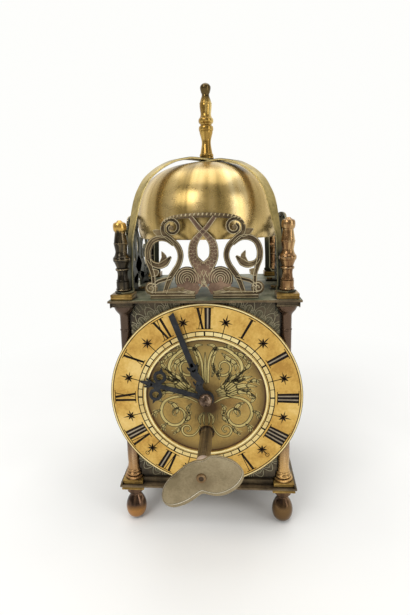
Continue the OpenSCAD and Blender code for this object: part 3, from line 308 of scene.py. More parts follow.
# The feet are lighter low down: a painted highlight, brighter on the left ones
metal("foot", "copper_brown", (52, 38, 30), (88, 66, 50), (128, 98, 74), grime_and_shade=(36, 24, 18), **EGG,
    parts=(((172, 124, 70), 0.46, 0.3),))
metal("foot_right", "copper_brown", (48, 34, 26), (84, 62, 44), (120, 92, 64), grime_and_shade=(34, 26, 18), **EGG,
    parts=(((112, 86, 54), 0.62, 0.42),))
metal("pipe", "copper_brown", (84, 72, 54), (126, 108, 80), (166, 146, 112), rough=(0.3, 0.48),
    metallic=0.7, streaks=("y", 5, 0.6))
metal("pipe_end", "copper_brown", (196, 172, 154), (228, 208, 192), rough=(0.3, 0.45), metallic=0.4)
metal("wing", "key_nickel", (122, 108, 78), (146, 131, 100), (168, 154, 122), rough=(0.34, 0.5), scale=40,
    fine=1200, bump=0.08, metallic=0.5, spots=WING_STAINS)
# The wing's bevel: a painted highlight
metal("wing_edge_highlight", "key_nickel", (206, 198, 174), (240, 234, 214), rough=(0.25, 0.4), metallic=0.4)
metal("wing_line", "key_nickel", (66, 54, 34), (92, 78, 52), **CUT)
metal("rivet", "copper_brown", (84, 62, 38), (120, 94, 62), (160, 134, 98), rough=(0.3, 0.45), metallic=0.7)
metal("rivet_core", "copper_brown", (40, 30, 20), (78, 58, 36), rough=(0.4, 0.6), metallic=0.5)
metal("nut", "copper_brown", (70, 56, 44), (108, 88, 72), (150, 128, 108), rough=(0.2, 0.34), bump=0.05,
    metallic=0.8, grain=0.15, streaks=("y", 1.2, 1))
metal("movement", None, (160, 124, 56), (208, 172, 92), rough=(0.25, 0.4), scale=120, bump=0.1)
metal("steel", None, (128, 128, 128), (184, 184, 184), rough=(0.22, 0.36), scale=200)
metal("spring", None, (44, 48, 60), (84, 88, 102), rough=(0.28, 0.42), scale=200)


# Mesh building

def place(p):
    return Vector((p[0], p[1] + MID_Y, p[2])) / 1000


def piece(name, verts, faces, mat, body="case", stands_for=(), smooth=35, bevel=0):
    """A mesh from points in the clock's coordinates, riding on a CAD body."""
    mesh = bpy.data.meshes.new(name)
    mesh.from_pydata([place(v) for v in verts], [], faces)
    bm = bmesh.new()
    bm.from_mesh(mesh)
    bmesh.ops.remove_doubles(bm, verts=bm.verts, dist=1e-7)
    bmesh.ops.recalc_face_normals(bm, faces=bm.faces)
    if bevel:
        sharp = [e for e in bm.edges if len(e.link_faces) == 2 and e.calc_face_angle(0) > math.radians(40)]
        bmesh.ops.bevel(bm, geom=sharp, offset=bevel / 1000, segments=2, affect="EDGES", profile=0.6)
    bm.to_mesh(mesh)
    bm.free()
    if smooth:
        for face in mesh.polygons:
            face.use_smooth = True
        mesh.set_sharp_from_angle(angle=math.radians(smooth))
    obj = bpy.data.objects.new(name, mesh)
    bpy.context.scene.collection.objects.link(obj)
    mesh.materials.append(M[mat])
    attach(obj, body)
    if stands_for:
        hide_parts(*stands_for)
    return obj


def spline_at(a, b, d, e, t):
    return 0.5 * (2 * b + (d - a) * t + (2 * a - 5 * b + 4 * d - e) * t * t + (3 * b - a - 3 * d + e) * t
        ** 3)


def smooth_line(pts, n=4):
    """The same curve through the points as the CAD's."""
    last = len(pts) - 1
    out = []
    for i in range(last):
        q = [pts[max(i - 1, 0)], pts[i], pts[i + 1], pts[min(i + 2, last)]]
        for k in range(n):
            out.append(tuple(spline_at(q[0][j], q[1][j], q[2][j], q[3][j], k / n) for j in (0, 1)))
    return out + [tuple(pts[last])]


def width_at(w, t):
    s = t * (len(w) - 1)
    k = min(int(s), len(w) - 2)
    return lerp(w[k], w[k + 1], s - k)


def along(points, widths, n):
    """Each point of the smooth line with its normal and half its width."""
    p = smooth_line(points, n)
    last = len(p) - 1
    out = []
    for i, (x, y) in enumerate(p):
        a, b = p[max(i - 1, 0)], p[min(i + 1, last)]
        d = math.hypot(b[0] - a[0], b[1] - a[1]) or 1
        out.append(((x, y), (-(b[1] - a[1]) / d, (b[0] - a[0]) / d), width_at(widths, i / last) / 2))
    return out


def beside(points, widths, share, n):
    """The line that runs at a share of the half width beside a band's middle."""
    return [(x + nx * w * share, y + ny * w * share) for (x, y), (nx, ny), w in along(points, widths, n)]


class Shape:
    """Points and faces that grow into one piece."""

    def __init__(self):
        self.v, self.f = [], []

    def add(self, verts, faces):
        n = len(self.v)
        self.v += list(verts)
        self.f += [tuple(i + n for i in face) for face in faces]
        return self

    def rows(self, rows, closed_across=False, closed_along=False, caps=False):
        """Joins rows of the same number of points into a sheet."""
        m, count = len(rows[0]), len(rows)
        across = m if closed_across else m - 1
        runs = count if closed_along else count - 1
        faces = [(i * m + k, i * m + (k + 1) % m, (i + 1) % count * m + (k + 1) % m,
            (i + 1) % count * m + k) for i in range(runs) for k in range(across)]
        if caps:
            faces += [tuple(range(m)), tuple(range(count * m - 1, (count - 1) * m - 1, -1))]
        return self.add([p for row in rows for p in row], faces)

    def lathe(self, profile, at=(0, 0), seg=64, axis="z", origin=0):
        """Turns (radius, height) points round an upright axis, or round Y for axis='y'."""
        rows = []
        for r, h in profile:
            ring_points = [polar(max(r, 0.001), 360 * k / seg) for k in range(seg)]
            rows.append([(at[0] + u, at[1] + w, h) if axis == "z" else (at[0] + u, origin + h,
                at[1] + w) for u, w in ring_points])
        return self.rows(rows, closed_across=True)

    def box(self, lo, hi):
        verts = [(x, y, z) for x in (lo[0], hi[0]) for y in (lo[1], hi[1]) for z in (lo[2], hi[2])]
        return self.add(verts, [(0, 1, 3, 2), (4, 6, 7, 5), (0, 4, 5, 1), (2, 3, 7, 6), (0, 2, 6, 4),
            (1, 5, 7, 3)])

    def prism(self, outline, to3, depth, base=0):
        """Fills a 2D outline and gives it a thickness; to3 maps (x, y, height) to a point."""
        n = len(outline)
        verts = [to3(x, y, base) for x, y in outline] + [to3(x, y, depth) for x, y in outline]
        faces = [tuple(range(n)), tuple(range(2 * n - 1, n - 1, -1))]
        faces += [(i, (i + 1) % n, n + (i + 1) % n, n + i) for i in range(n)]
        return self.add(verts, faces)

    def band(self, points, widths, section, to3, n=4):
        """Sweeps a cross-section of (share of half width, height) along a curve."""
        return self.rows([[to3(x + nx * u * w, y + ny * u * w, h) for u, h in section] for (x, y),
            (nx, ny), w in along(points, widths, n)], closed_across=True, caps=True)

    def disc(self, centre, profile, to3, seg=40):
        rows = [[to3(*around(centre, r, 360 * k / seg), h) for k in range(seg)] for r, h in profile]
        return self.rows(rows, closed_across=True, caps=True)

    def made(self, name, mat, **kw):
        return piece(name, self.v, self.f, mat, **kw)


def bead(r0, r1, z0, z1, n=8):
    return [(r0 + (r1 - r0) * sin(180 * i / n), lerp(z0, z1, (1 - cos(180 * i / n)) / 2)) for i in
        range(n + 1)]


def capped(profile):
    return [(0, profile[0][1])] + profile + [(0, profile[-1][1])]


def spiral_points(centre, r0, r1, a0, turn, n=22):
    return [around(centre, lerp(r0, r1, i / n), a0 + turn * i / n) for i in range(n + 1)]


# The case

def block(name, x, y, half, z0, z1, mat, stands_for=()):
    """A square block with a fine line cut round it."""
    mid = (z0 + z1) / 2
    rows = []
    for inset, z in ((0, z0), (0, mid - 0.2), (0.18, mid), (0, mid + 0.2), (0, z1)):
        h = half - inset
        rows.append([(x - h, y - h, z), (x + h, y - h, z), (x + h, y + h, z), (x - h, y + h, z)])
    return Shape().rows(rows, closed_across=True, caps=True).made(name, mat, stands_for=stands_for,
        bevel=0.2)


def column_profile():
    foot, rb, rt = Z_LOW + 2.3, 3.3, 2.7
    return capped([(5.2, foot - 0.1), (5.2, foot + 0.9), (4.6, foot + 1.3)] +
        bead(3.7, 4.3, foot + 1.4, foot + 3.2) + bead(3.4, 3.9, foot + 3.6, foot + 5.1) +
        [(3.3, foot + 5.4), (3.45, foot + 6.4), (rb - 0.2, foot + 8.4), (rb, foot + 12),
        (3.0, (foot + Z_HIGH) / 2), (rt + 0.05, Z_HIGH - 16.2)] + bead(rt, rt + 0.3, Z_HIGH - 15.8,
        Z_HIGH - 14.8) + [(rt, Z_HIGH - 14.4), (rt, Z_HIGH - 8), (rt + 0.1, Z_HIGH - 7.4),
        (rt + 0.5, Z_HIGH - 6.6), (4.1, Z_HIGH - 5.6), (4.8, Z_HIGH - 4.6), (5.3, Z_HIGH - 3.4),
        (5.4, Z_HIGH - 2.4)])


def egg_profile():
    r, h = 5.8, FOOT_H - PAD_T
    egg = [(0.64, 0.06), (0.83, 0.125), (0.95, 0.21), (1, 0.32), (0.97, 0.42), (0.88, 0.51), (0.75, 0.595),
        (0.6, 0.665), (0.51, 0.72)]
    return capped([(1.6, 0), (0.4 * r, 0.015 * h)] + smooth_line([(a * r, b * h) for a, b in egg], 4) +
        [(0.51 * r, 0.755 * h), (0.58 * r, 0.78 * h), (4.3, 0.81 * h), (4.7, 0.835 * h), (4.7, h)])


def finial_profile():
    z = Z_TOP + 4.2
    parts = [[(3.7, z)], bead(3.4, 3.8, z + 0.2, z + 1.4), [(3.4, z + 1.6), (3.4, z + 4.9)],
        bead(2.9, 3.3, z + 5.1, z + 6), smooth_line([(2.7, z + 7), (2.55, z + 8.7), (2.7, z + 10)], 4),
        bead(2.8, 3.45, z + 10.4, z + 12), [(2.9, z + 12.3), (3.5, z + 14)],
        bead(3.9, 4.4, z + 15, z + 17.6), smooth_line([(3.4, z + 18.4), (2.95, z + 20), (3.1, z + 21.8),
        (3.5, z + 23.8)], 4), bead(3.4, 3.6, z + 24, z + 24.7), smooth_line([(3.1, z + 26.8),
        (2.6, z + 29.7)], 2), bead(2.7, 3.4, z + 30.2, z + 34.6, 12), [(1.6, z + 35.1), (0.8, z + 35.8)]]
    return capped([p for part in parts for p in part])


for tag, x, y in (("fl", -C, -C), ("fr", C, -C), ("bl", -C, C), ("br", C, C)):
    first, left = tag == "fl", x < 0
    Shape().lathe(column_profile(), (x, y)).made("column_" + tag, "column" if left else "column_right",
        stands_for=("columns",) if first else ())
    block("column_block_" + tag, x, y, BLOCK, Z_LOW, Z_LOW + 2.3, "block")
    block("capital_block_" + tag, x, y, BLOCK, Z_HIGH - 2.3, Z_HIGH, "moulding")
    Shape().lathe(egg_profile(), (x, y)).made("foot_" + tag, "foot" if left else "foot_right",
        stands_for=("feet",) if first else ())
    block("foot_pad_" + tag, x, y, 6.2, FOOT_H - PAD_T, FOOT_H, "block")
    block("finial_base_" + tag, x, y, BLOCK, Z_TOP, Z_TOP + 3, "block", stands_for=("finial_bases",) if
        first else ())
    Shape().lathe(finial_profile(), (x, y)).made("corner_finial_" + tag, "finial_dark" if left else
        "finial_copper", stands_for=("corner_finials",) if first else ())
    # Bright thin rings on the crests of the beads, painted highlights
    rings = Shape()
    for r, up in ((3.82, 0.8), (3.48, 11.2), (4.42, 16.3), (3.62, 24.35)):
        z = Z_TOP + 4.2 + up
        rings.lathe([(r - 0.12, z - 0.2), (r, z), (r - 0.12, z + 0.2)], (x, y))
    rings.made("finial_rings_" + tag, "finial_ring_highlight", smooth=0)


# The bell, its straps and the centre finial

def bell_curve(r, z0, z1, n=32):
    return [(max(r * cos(90 * i / n) ** 0.8, 4), lerp(z0, z1, sin(90 * i / n) ** 0.8)) for i in
        range(n)] + [(4, z1)]


wide = BELL_RIM + 9
outside = [(39.4, BELL_RIM), (39.8, BELL_RIM + 0.8), (40.6, BELL_RIM + 4)] + bell_curve(41, wide, BELL_TOP)
inside = [(38.2, BELL_RIM)] + bell_curve(39.4, wide, BELL_TOP - 1.6)
Shape().lathe([(1.6, BELL_TOP)] + outside[::-1] + inside + [(1.6, BELL_TOP - 1.6)],
    seg=128).made("bell_cup", "bell", stands_for=("bell",))

STRAP_HALF, LEG_HALF = 3.1, 1.9
STRAP = [(-3.2, 0), (3, 0), (4.2, 0.012), (4.6, 0.045), (4.7, 0.14), (5.3, 0.27), (5.9, 0.39), (7.6, 0.49),
    (9.4, 0.585), (11.9, 0.69), (14.7, 0.763), (18.2, 0.828), (23.6, 0.888), (29.1, 0.932), (35.2, 0.968),
    (42, 0.99), (47, 1)]


def strap(name, top, angle, node_name):
    r = C * math.sqrt(2)
    low, high = Z_TOP + 3.6, top - 0.6
    line = smooth_line([(r - p[0], lerp(low, high, p[1])) for p in STRAP] + [(0, high)], 4)
    whole = line + [(-x, z) for x, z in line[-2::-1]]
    t, e = 0.6, 0.3
    # Each point of the cross-section: side, distance in from the edge, height
    section = [(-1, 0, -t + e), (-1, e, -t), (1, e, -t), (1, 0, -t + e), (1, 0, t - e), (1, e, t),
        (-1, e, t), (-1, 0, t - e)]

    def half(z):
        share = (z - low) / (high - low)
        stops = ((0, STRAP_HALF), (0.02, STRAP_HALF), (0.032, LEG_HALF), (0.4, LEG_HALF),
            (0.62, STRAP_HALF), (1, STRAP_HALF))
        for (a, wa), (b, wb) in zip(stops, stops[1:]):
            if share <= b:
                return lerp(wa, wb, max(0, share - a) / (b - a))
        return STRAP_HALF

    def swept(cut):
        rows = []
        for i, (d, z) in enumerate(whole):
            a, b = whole[max(i - 1, 0)], whole[min(i + 1, len(whole) - 1)]
            length = math.hypot(b[0] - a[0], b[1] - a[1])
            nx, nz = (b[1] - a[1]) / length, -(b[0] - a[0]) / length
            rows.append([((d + nx * h) * cos(angle) - side * (half(z) - inset) * sin(angle),
                (d + nx * h) * sin(angle) + side * (half(z) - inset) * cos(angle), z + nz * h) for side,
                inset, h in cut])
        return rows
    Shape().rows(swept(section), closed_across=True, caps=True).made(name, "strap",
        stands_for=(node_name,), smooth=30)
    # Bright strips along both edges of the strap: a painted highlight
    edges = Shape()
    for side in (-1, 1):
        edges.rows(swept([(side, 0.5, -t - 0.02), (side, -0.02, -t + e * 0.6), (side, -0.02, t - e)]))
    edges.made(name + "_edges", "strap_edge_highlight", smooth=30)


strap("strap_over", STRAP_Z, 45, "upper_strap")
strap("strap_under", STRAP_Z - 1.2, -45, "lower_strap")


def top_profile():
    z = STRAP_Z
    parts = [[(4.15, z), (4.15, z + 0.8)], bead(3.6, 4, z + 1, z + 2.6),
        smooth_line([(3.4, z + 3.4), (2.9, z + 6), (2.6, z + 8.6), (2.9, z + 11), (3.7, z + 13.8)], 4),
        bead(3.8, 4.15, z + 14.8, z + 17.4), [(3.1, z + 18), (3.3, z + 18.6)],
        bead(3.5, 4.25, z + 18.9, z + 21.8), smooth_line([(3.2, z + 22.6), (2.95, z + 23.9), (3.2, z + 26),
        (3.45, z + 28.4)], 4), bead(3.3, 3.5, z + 29, z + 29.7), smooth_line([(2.8, z + 31.4),
        (2.05, z + 33.8), (2.5, z + 35.2), (2.95, z + 37), (2.9, z + 38.2), (2.2, z + 39.2),
        (1.2, z + 39.8)], 4)]
    return capped([p for part in parts for p in part])


Shape().lathe(top_profile()).made("centre_finial", "brass_top", stands_for=("top_finial",))


# The frets

FRET_Y, FRET_T = C + 1.9, 1.3
# Across a scroll: a raised rim each side of a hollow with a vein
SCROLL = [(-1, 0), (-1, 0.9), (-0.8, 1.28), (-0.62, 1.24), (-0.42, 0.9), (-0.14, 0.9), (0, 1.08),
    (0.14, 0.9), (0.42, 0.9), (0.62, 1.24), (0.8, 1.28), (1, 0.9), (1, 0)]
BODY = [(-1, 0), (-1, 0.75), (-0.82, 1.1), (-0.4, 1.26), (0, 1.3), (0.4, 1.26), (0.82, 1.1), (1, 0.75),
    (1, 0)]


class Relief:
    """One fret in four colours: scrolls, dolphins, bright raised lines and dark grooves."""

    def __init__(self):
        self.body, self.fish, self.light, self.dark = Shape(), Shape(), Shape(), Shape()

    def line(self, points, to3, width=0.5, height=1.36, dark=False, n=3):
        section = [(-1, height - 0.3), (-0.5, height), (0.5, height), (1, height - 0.3)]
        (self.dark if dark else self.light).band(points, [width, width], section, to3, n)

    def scroll(self, points, widths, to3, n=5):
        self.body.band(points, widths, SCROLL, to3, n)
        for s in (-1, 1):
            self.line(beside(points, widths, 0.74 * s, n), to3, 0.4, 1.34, n=1)
            self.line(beside(points, widths, 0.36 * s, n), to3, 0.36, 1.0, dark=True, n=1)

    def arc(self, centre, r, a0, a1, to3, **kw):
        self.line([around(centre, r, lerp(a0, a1, k / 14)) for k in range(15)], to3, n=1, **kw)


def on_fret(side, mirror):
    """Maps a fret's own drawing (x, up, height off its back) to the clock, turned to its side."""
    def to3(x, y, h):
        x = -x if mirror else x
        y_out = -FRET_Y + FRET_T - h
        a = 90 * side
        return (x * cos(a) - y_out * sin(a), x * sin(a) + y_out * cos(a), Z_TOP + y)
    return to3


def dolphin(fret, to3):
    line = [(-4.4, 9.5), (-0.8, 13.6), (2.6, 17), (4.9, 20.6), (5.3, 24.6), (4.5, 28.4), (1.6, 32.2),
        (-1.8, 35.6), (-6, 41)]
    widths = [11, 9.5, 6.4, 5, 4.6, 4.2, 3, 2.6, 2.2]
    fret.fish.band(line, widths, BODY, to3, 5)
    for s in (-1, 1):
        edge = beside(line, widths, 0.82 * s, 5)
        fret.line(edge[8:], to3, 0.45, 1.3, n=1)
    fret.line(beside(line, widths, 0, 5)[22:], to3, 0.35, 1.36, dark=True, n=1)
    head = (-8.4, 10.2)
    fret.fish.disc(head, [(6.3, 0), (6.3, 0.8), (5.6, 1.12), (0.2, 1.2)], to3)
    for k, r in enumerate((1.1, 2.2, 3.3, 4.5, 5.7)):
        fret.arc(head, r, -60 + 12 * k, 236 - 8 * k, to3, width=0.46, height=1.42)
        fret.arc(head, r + 0.55, -60 + 12 * k, 236 - 8 * k, to3, width=0.4, height=1.24, dark=True)
    fret.fish.prism([(-13.6, 7), (-14.4, 4.4), (-10.4, 3.4), (-5.4, 2.2), (-3.6, 2.4), (-1.8, 5.6),
        (-4, 9)], to3, 0.95)
    for k in range(3):
        fret.line([(-13.4, 6.2 - k), (-9.6, 4.7 - k * 0.8), (-5.2, 3.6 - k * 0.5)], to3, 0.4, 1.22)
        fret.line([(-2.6 + 1.2 * k, 4.8 + 1.4 * k), (-0.9 + 1.3 * k, 8.4 + 1.2 * k),
            (-3 + 1.6 * k, 13.4 + 0.8 * k)], to3, 0.45, 1.38)
    # Scales along the body, each a small raised arc
    p = smooth_line(line, 12)
    n = len(p) - 1
    for i in range(22, n - 26, 5):
        a = heading(p, i)
        w = width_at(widths, i / n) / 2
        for s in ((-0.4, 0.4) if i % 2 else (-0.62, 0, 0.62)):
            cx, cy, r = p[i][0] - s * w * sin(a), p[i][1] + s * w * cos(a), w * 0.34
            fret.line([around((cx, cy), r, a + q) for q in (-95, -50, 0, 50, 95)], to3, 0.26, 1.36 - 0.1 *
                abs(s), n=2)


def half_scrolls(fret, to3):
    fret.scroll(spiral_points((15.5, 35.9), 4.5, 1.6, 15, 410), [2.2, 1.6], to3, 1)
    fret.body.disc((15.5, 35.9), [(1.2, 0.9), (1.1, 1.2), (0.5, 1.4)], to3, 16)
    fret.scroll([(19.9, 37), (19.7, 33.4), (16.2, 30.2), (12.9, 26.8), (11.5, 22.4), (12.6, 17.8),
        (15.2, 13.8), (17.6, 10), (20.2, 3)], [2.2, 2.8, 3, 3, 3, 3, 3, 3, 2.4], to3)
    fret.scroll([(14.8, 27.4), (18.4, 30.4), (22.6, 30.8), (26.2, 28.8), (28, 24.8), (28, 20.4),
        (26.8, 16), (25.8, 11.6), (25.8, 3)], [1.6, 2.8, 3.2, 3.2, 3.2, 3.2, 2.6, 2.2, 2.2], to3)
    fret.body.disc((27.2, 5.6), [(3.3, 0), (3.3, 0.8), (2.9, 1.1), (0.2, 1.15)], to3)
    fret.line(spiral_points((27.2, 5.6), 2.9, 0.5, 170, -560), to3, 0.45, 1.38, n=1)
    fret.line(spiral_points((27.2, 5.6), 2.45, 0.4, 170, -500), to3, 0.4, 1.22, dark=True, n=1)
    fret.scroll([(27.6, 20.6), (25.8, 18.2), (22.4, 17.2), (19.4, 18.6), (16.4, 21.6)],
        [2, 2.6, 3.4, 4, 1], to3, 4)
    for leaf_outline in ([(22.8, 18), (21, 21.4), (21, 24.4), (18.8, 22.2), (18.2, 19.4)],
            [(19.4, 31), (22.8, 32), (25, 34.8), (21.8, 35), (18.9, 33.8)],
            [(26.2, 15.4), (23, 14.8), (23.8, 12.2), (26.2, 11.8)]):
        fret.body.prism(leaf_outline, to3, 1.05)
        fret.line(leaf_outline[:4], to3, 0.36, 1.2, n=2)
    fret.scroll([(16.4, 11), (20.4, 9.9), (23.6, 8.9), (26.2, 6.6)], [1.6, 2, 1.9, 1.4], to3, 4)
    fret.body.band([(10, 5), (15.6, 4.6), (21, 3.6)], [3, 2.2, 1.4], BODY, to3, 3)
    fret.body.prism([(4.5, 0), (27.7, 0), (27.7, 4), (4.5, 4)], to3, 1.05)
    for z in (0.5, 1.9, 3.6):
        fret.line([(4.7, z), (16, z), (27.5, z)], to3, 0.42, 1.3, n=1)
    for z in (1.1, 2.7):
        fret.line([(4.7, z), (16, z), (27.5, z)], to3, 0.5, 1.16, dark=True, n=1)


def crest(fret, to3):
    line = [(-20, 37.6), (-17.4, 39.9), (-12.4, 41.1), (-6.2, 41.6), (0, 41.8), (6.2, 41.6), (12.4, 41.1),
        (17.4, 39.9), (20, 37.6)]
    fret.body.band(line, [1.4, 2, 2.3, 2.4, 2.4, 2.4, 2.3, 2, 1.4],
        [(-1, 0), (-1, 0.8), (-0.8, 1.0), (0.4, 1.0), (1, 0.8), (1, 0)], to3, 5)
    # A row of slanted beads like rope along its top edge
    p = smooth_line(line, 12)
    for i in range(8, len(p) - 8, 4):
        a = heading(p, i)
        middle = (p[i][0] - 0.45 * sin(a), p[i][1] + 0.45 * cos(a))
        fret.light.band([around(middle, -0.7, a + 62), middle, around(middle, 0.7, a + 62)],
            [0.5, 1.15, 0.5], [(-1, 0.6), (-0.6, 1.2), (0, 1.42), (0.6, 1.2), (1, 0.6)], to3, 3)
    fret.line([(x, z - 0.75) for x, z in p[10:-10]], to3, 0.4, 1.12, dark=True, n=1)


for side, tag in ((0, "front"), (-1, "left"), (1, "right")):
    fret = Relief()
    for flip in (False, True):
        to3 = on_fret(side, flip)
        dolphin(fret, to3)
        half_scrolls(fret, to3)
        # Tab on the top plate
        fret.body.box(*[tuple(f(a, b) for a, b in zip(to3(13.4, 0, 0), to3(18.6, 1, -6.9))) for f in (min,
            max)])
    crest(fret, on_fret(side, False))
    # The side frets take the darker colours, a painted shade
    fret.body.made("fret_relief_" + tag, "fret_side_in_shade" if side else "fret", stands_for=(tag + "_fret",),
        smooth=40)
    fret.fish.made("fret_dolphins_" + tag, "fret_side_in_shade" if side else "fret_fish", smooth=40)
    fret.light.made("fret_lines_" + tag, "fret_light", smooth=40)
    fret.dark.made("fret_grooves_" + tag, "fret_dark", smooth=40)


# The dial

def flat(shape, outline, y, keep=None):
    """A thin filled outline on a face of the dial; x to the right and y up from its centre."""
    if keep is None or all(keep(*p) for p in outline):
        shape.add([(p[0], y, DIAL_Z + p[1]) for p in outline], [tuple(range(len(outline)))])
    return shape


def turned_by(pts, a):
    """Turns points clockwise by a, so that up becomes the direction of that hour."""
    return [(x * cos(a) + y * sin(a), -x * sin(a) + y * cos(a)) for x, y in pts]


def arc_band(shape, r0, r1, y, a0=0, a1=360, seg=180):
    n = max(2, int(seg * abs(a1 - a0) / 360))
    for k in range(n):
        b0, b1 = lerp(a0, a1, k / n), lerp(a0, a1, (k + 1) / n)
        flat(shape, [(r0 * sin(b0), r0 * cos(b0)), (r1 * sin(b0), r1 * cos(b0)),
            (r1 * sin(b1), r1 * cos(b1)), (r0 * sin(b1), r0 * cos(b1))], y)
    return shape


def line_band(shape, points, widths, y, n=4, keep=None):
    p = along(points, widths, n)
    left = [(x + nx * w, z + nz * w) for (x, z), (nx, nz), w in p]
    right = [(x - nx * w, z - nz * w) for (x, z), (nx, nz), w in p]
    for i in range(len(p) - 1):
        flat(shape, [left[i], right[i], right[i + 1], left[i + 1]], y, keep)
    return shape


ring = [(51, 1.3), (51, 0.25), (50.75, 0.0), (50.3, 0.0), (50.15, 0.05), (33.0, 0.05), (32.75, 0.0),
    (32.2, 0.0), (32.0, 0.2), (32.0, 1.3)]
Shape().lathe(ring, (0, DIAL_Z), 192, axis="y", origin=Y_RING).made("chapter_ring_face", "gilt",
    stands_for=("chapter_ring",))
edges, track = Shape(), Shape()
# The bright bands at the ring's outer and inner edges are painted highlights
arc_band(edges, 50.15, 50.75, Y_RING - 0.01)
arc_band(edges, 32.05, 33.1, Y_RING - 0.01)
arc_band(track, 34.1, 36.2, Y_RING + 0.04)
track.made("chapter_ring_track", "gilt_track", smooth=0)
edges.made("chapter_ring_edges", "gilt_edge_highlight", smooth=0)

Y_INK = Y_RING + 0.03
ink, smudge = Shape(), Shape()
arc_band(ink, 49.6, 50.0, Y_INK)
arc_band(ink, 36.1, 36.6, Y_INK)
arc_band(ink, 33.65, 34.15, Y_INK)
arc_band(ink, 33.1, 33.3, Y_INK)


def printed(points, a, shape=ink, y=Y_INK):
    """A filled outline, drawn as at the top of the dial and turned clockwise by a."""
    flat(shape, turned_by(points, a), y)


for k in range(48):
    half = 0.46 if k % 4 == 0 else 0.21
    printed([(-half * 0.9, 34), (half * 0.9, 34), (half, 36.4), (-half, 36.4)], 360 * k / 48)

R0, R1 = 37.5, 48.9
WIDTHS = {"I": 2.15, "V": 3.7, "X": 3.8}
THICK, THIN = 1.35, 0.42
SQUEEZE = 0.86


def stroke(u0, u1, w, a, shape=ink, y=Y_INK):
    """A numeral's stroke, w wide, from u0 at the foot to u1 at the top, on the hour at angle a."""
    printed([((u0 - w / 2) * SQUEEZE, R0), ((u0 + w / 2) * SQUEEZE, R0), (u1 + w / 2, R1),
        (u1 - w / 2, R1)], a, shape, y)


def serif(u, w, a, foot=True, thick=0.3):
    for r, k, s in ([(R0, SQUEEZE, 1)] if foot else []) + [(R1, 1.0, -1)]:
        left, right, inner = (u - w / 2) * k, (u + w / 2) * k, r + s * thick
        printed([(left, r), (right, r), (right, inner), (left, inner)], a)


def numeral(text, a):
    u = -sum(WIDTHS[ch] for ch in text) / 2
    serif(0, 2 * (0.9 - u), a, thick=0.38)
    for i, ch in enumerate(text):
        m = u + WIDTHS[ch] / 2
        if ch == "I":
            stroke(m, m, THICK, a)
            serif(m, WIDTHS["I"], a)
            if i and text[i - 1] == "I":
                stroke(m - WIDTHS["I"] / 2, m - WIDTHS["I"] / 2, WIDTHS["I"] - THICK, a, smudge, Y_INK +
                    0.01)
        elif ch == "V":
            stroke(m - 0.1, m - 1.05, THICK, a)
            stroke(m + 0.2, m + 1.35, THIN, a)
            serif(m, 3.6, a, foot=False)
        else:
            stroke(m + 1.15, m - 1.15, THICK, a)
            stroke(m - 1.25, m + 1.25, THIN, a)
            serif(m - 1.2, 1.5, a)
            serif(m + 1.2, 1.5, a)
        u += WIDTHS[ch]


for hour, text in enumerate(["XII", "I", "II", "III", "IIII", "V", "VI", "VII", "VIII", "IX", "X", "XI"]):
    numeral(text, 30 * hour)
for k in range(12):
    a = 30 * k + 15
    for b, r, w in ((0, 4.6, 0.36), (90, 3.8, 0.34), (180, 3.8, 0.34), (270, 3.8, 0.34), (45, 2.8, 0.58),
            (135, 2.8, 0.58), (225, 2.8, 0.58), (315, 2.8, 0.58)):
        ray = [(x, 42.3 + z) for x, z in turned_by([(-w * 0.4, 0.2), (-w, r * 0.45), (0, r), (w, r * 0.45),
            (w * 0.4, 0.2)], b)]
        printed(ray, a)
    printed([(-0.5, 41.8), (0, 41.6), (0.5, 41.8), (0.5, 42.8), (0, 43), (-0.5, 42.8)], a)
    printed([(-0.22, 36.5), (0.22, 36.5), (0.2, 42.3), (-0.2, 42.3)], a)
for x in (-32.8, 32.8):
    ring_mark = [around((x, -32.9), 1.0, 360 * k / 16) for k in range(17)]
    line_band(ink, ring_mark, [0.32, 0.32], Y_INK, 1)
ink.made("dial_figures", "wax", smooth=0)
smudge.made("dial_figure_ground", "smudge", smooth=0)

# Dial middle: shading at its rim, and engraved scrolls and leaves with fine lines
shade = Shape()
arc_band(shade, 31.1, 32.1, Y_RING_BACK - 0.006)
arc_band(shade, 50.72, 50.97, Y_RING - 0.02)
shade.made("dial_rim_shade", "dial_shade", smooth=0)
Y_LEAF, Y_CUT = Y_RING_BACK - 0.01, Y_RING_BACK - 0.02
dark, light = Shape(), Shape()


def mirrored(points, flip):
    return [(-x, y) for x, y in points] if flip else points


def scroll(points, widths, flip):
    pts = mirrored(points, flip)
    line_band(light, pts, widths, Y_LEAF, 6)
    for s in (-1, 1):
        line_band(dark, beside(pts, widths, s, 6), [0.3, 0.42, 0.3], Y_CUT, 1)


def leaf(points, width, flip):
    """A pointed leaf along a curve, with a vein."""
    scroll(points, [0.3, width * 0.8, width, width * 0.7, 0.1], flip)
    line_band(dark, mirrored(points, flip), [0.26, 0.18, 0.08], Y_CUT, 4)


def lobed(points, width, flip, lobes=3):
    """An acanthus leaf: a middle leaf with side lobes that lean towards its tip."""
    leaf(points, width, flip)
    p = smooth_line(points, 4)
    for i in range(1, lobes + 1):
        x, y = p[int(len(p) * i / (lobes + 1.4))]
        x2, y2 = p[min(int(len(p) * i / (lobes + 1.4)) + 3, len(p) - 1)]
        d = math.hypot(x2 - x, y2 - y) or 1
        ux, uy = (x2 - x) / d, (y2 - y) / d
        for s in (-1, 1):
            reach = width * 0.95
            lobe = [(x, y), (x + (ux * 0.8 - s * uy * 0.8) * reach, y + (uy * 0.8 + s * ux * 0.8) * reach),
                (x + (ux * 1.9 - s * uy * 1.0) * reach, y + (uy * 1.9 + s * ux * 1.0) * reach)]
            line_band(dark, mirrored(lobe, flip), [0.28, 0.26, 0.12], Y_CUT, 4)
            line_band(light, mirrored([(u + 0.34, w + 0.16) for u, w in lobe], flip), [0.4, 0.34, 0.1],
                Y_LEAF, 4)


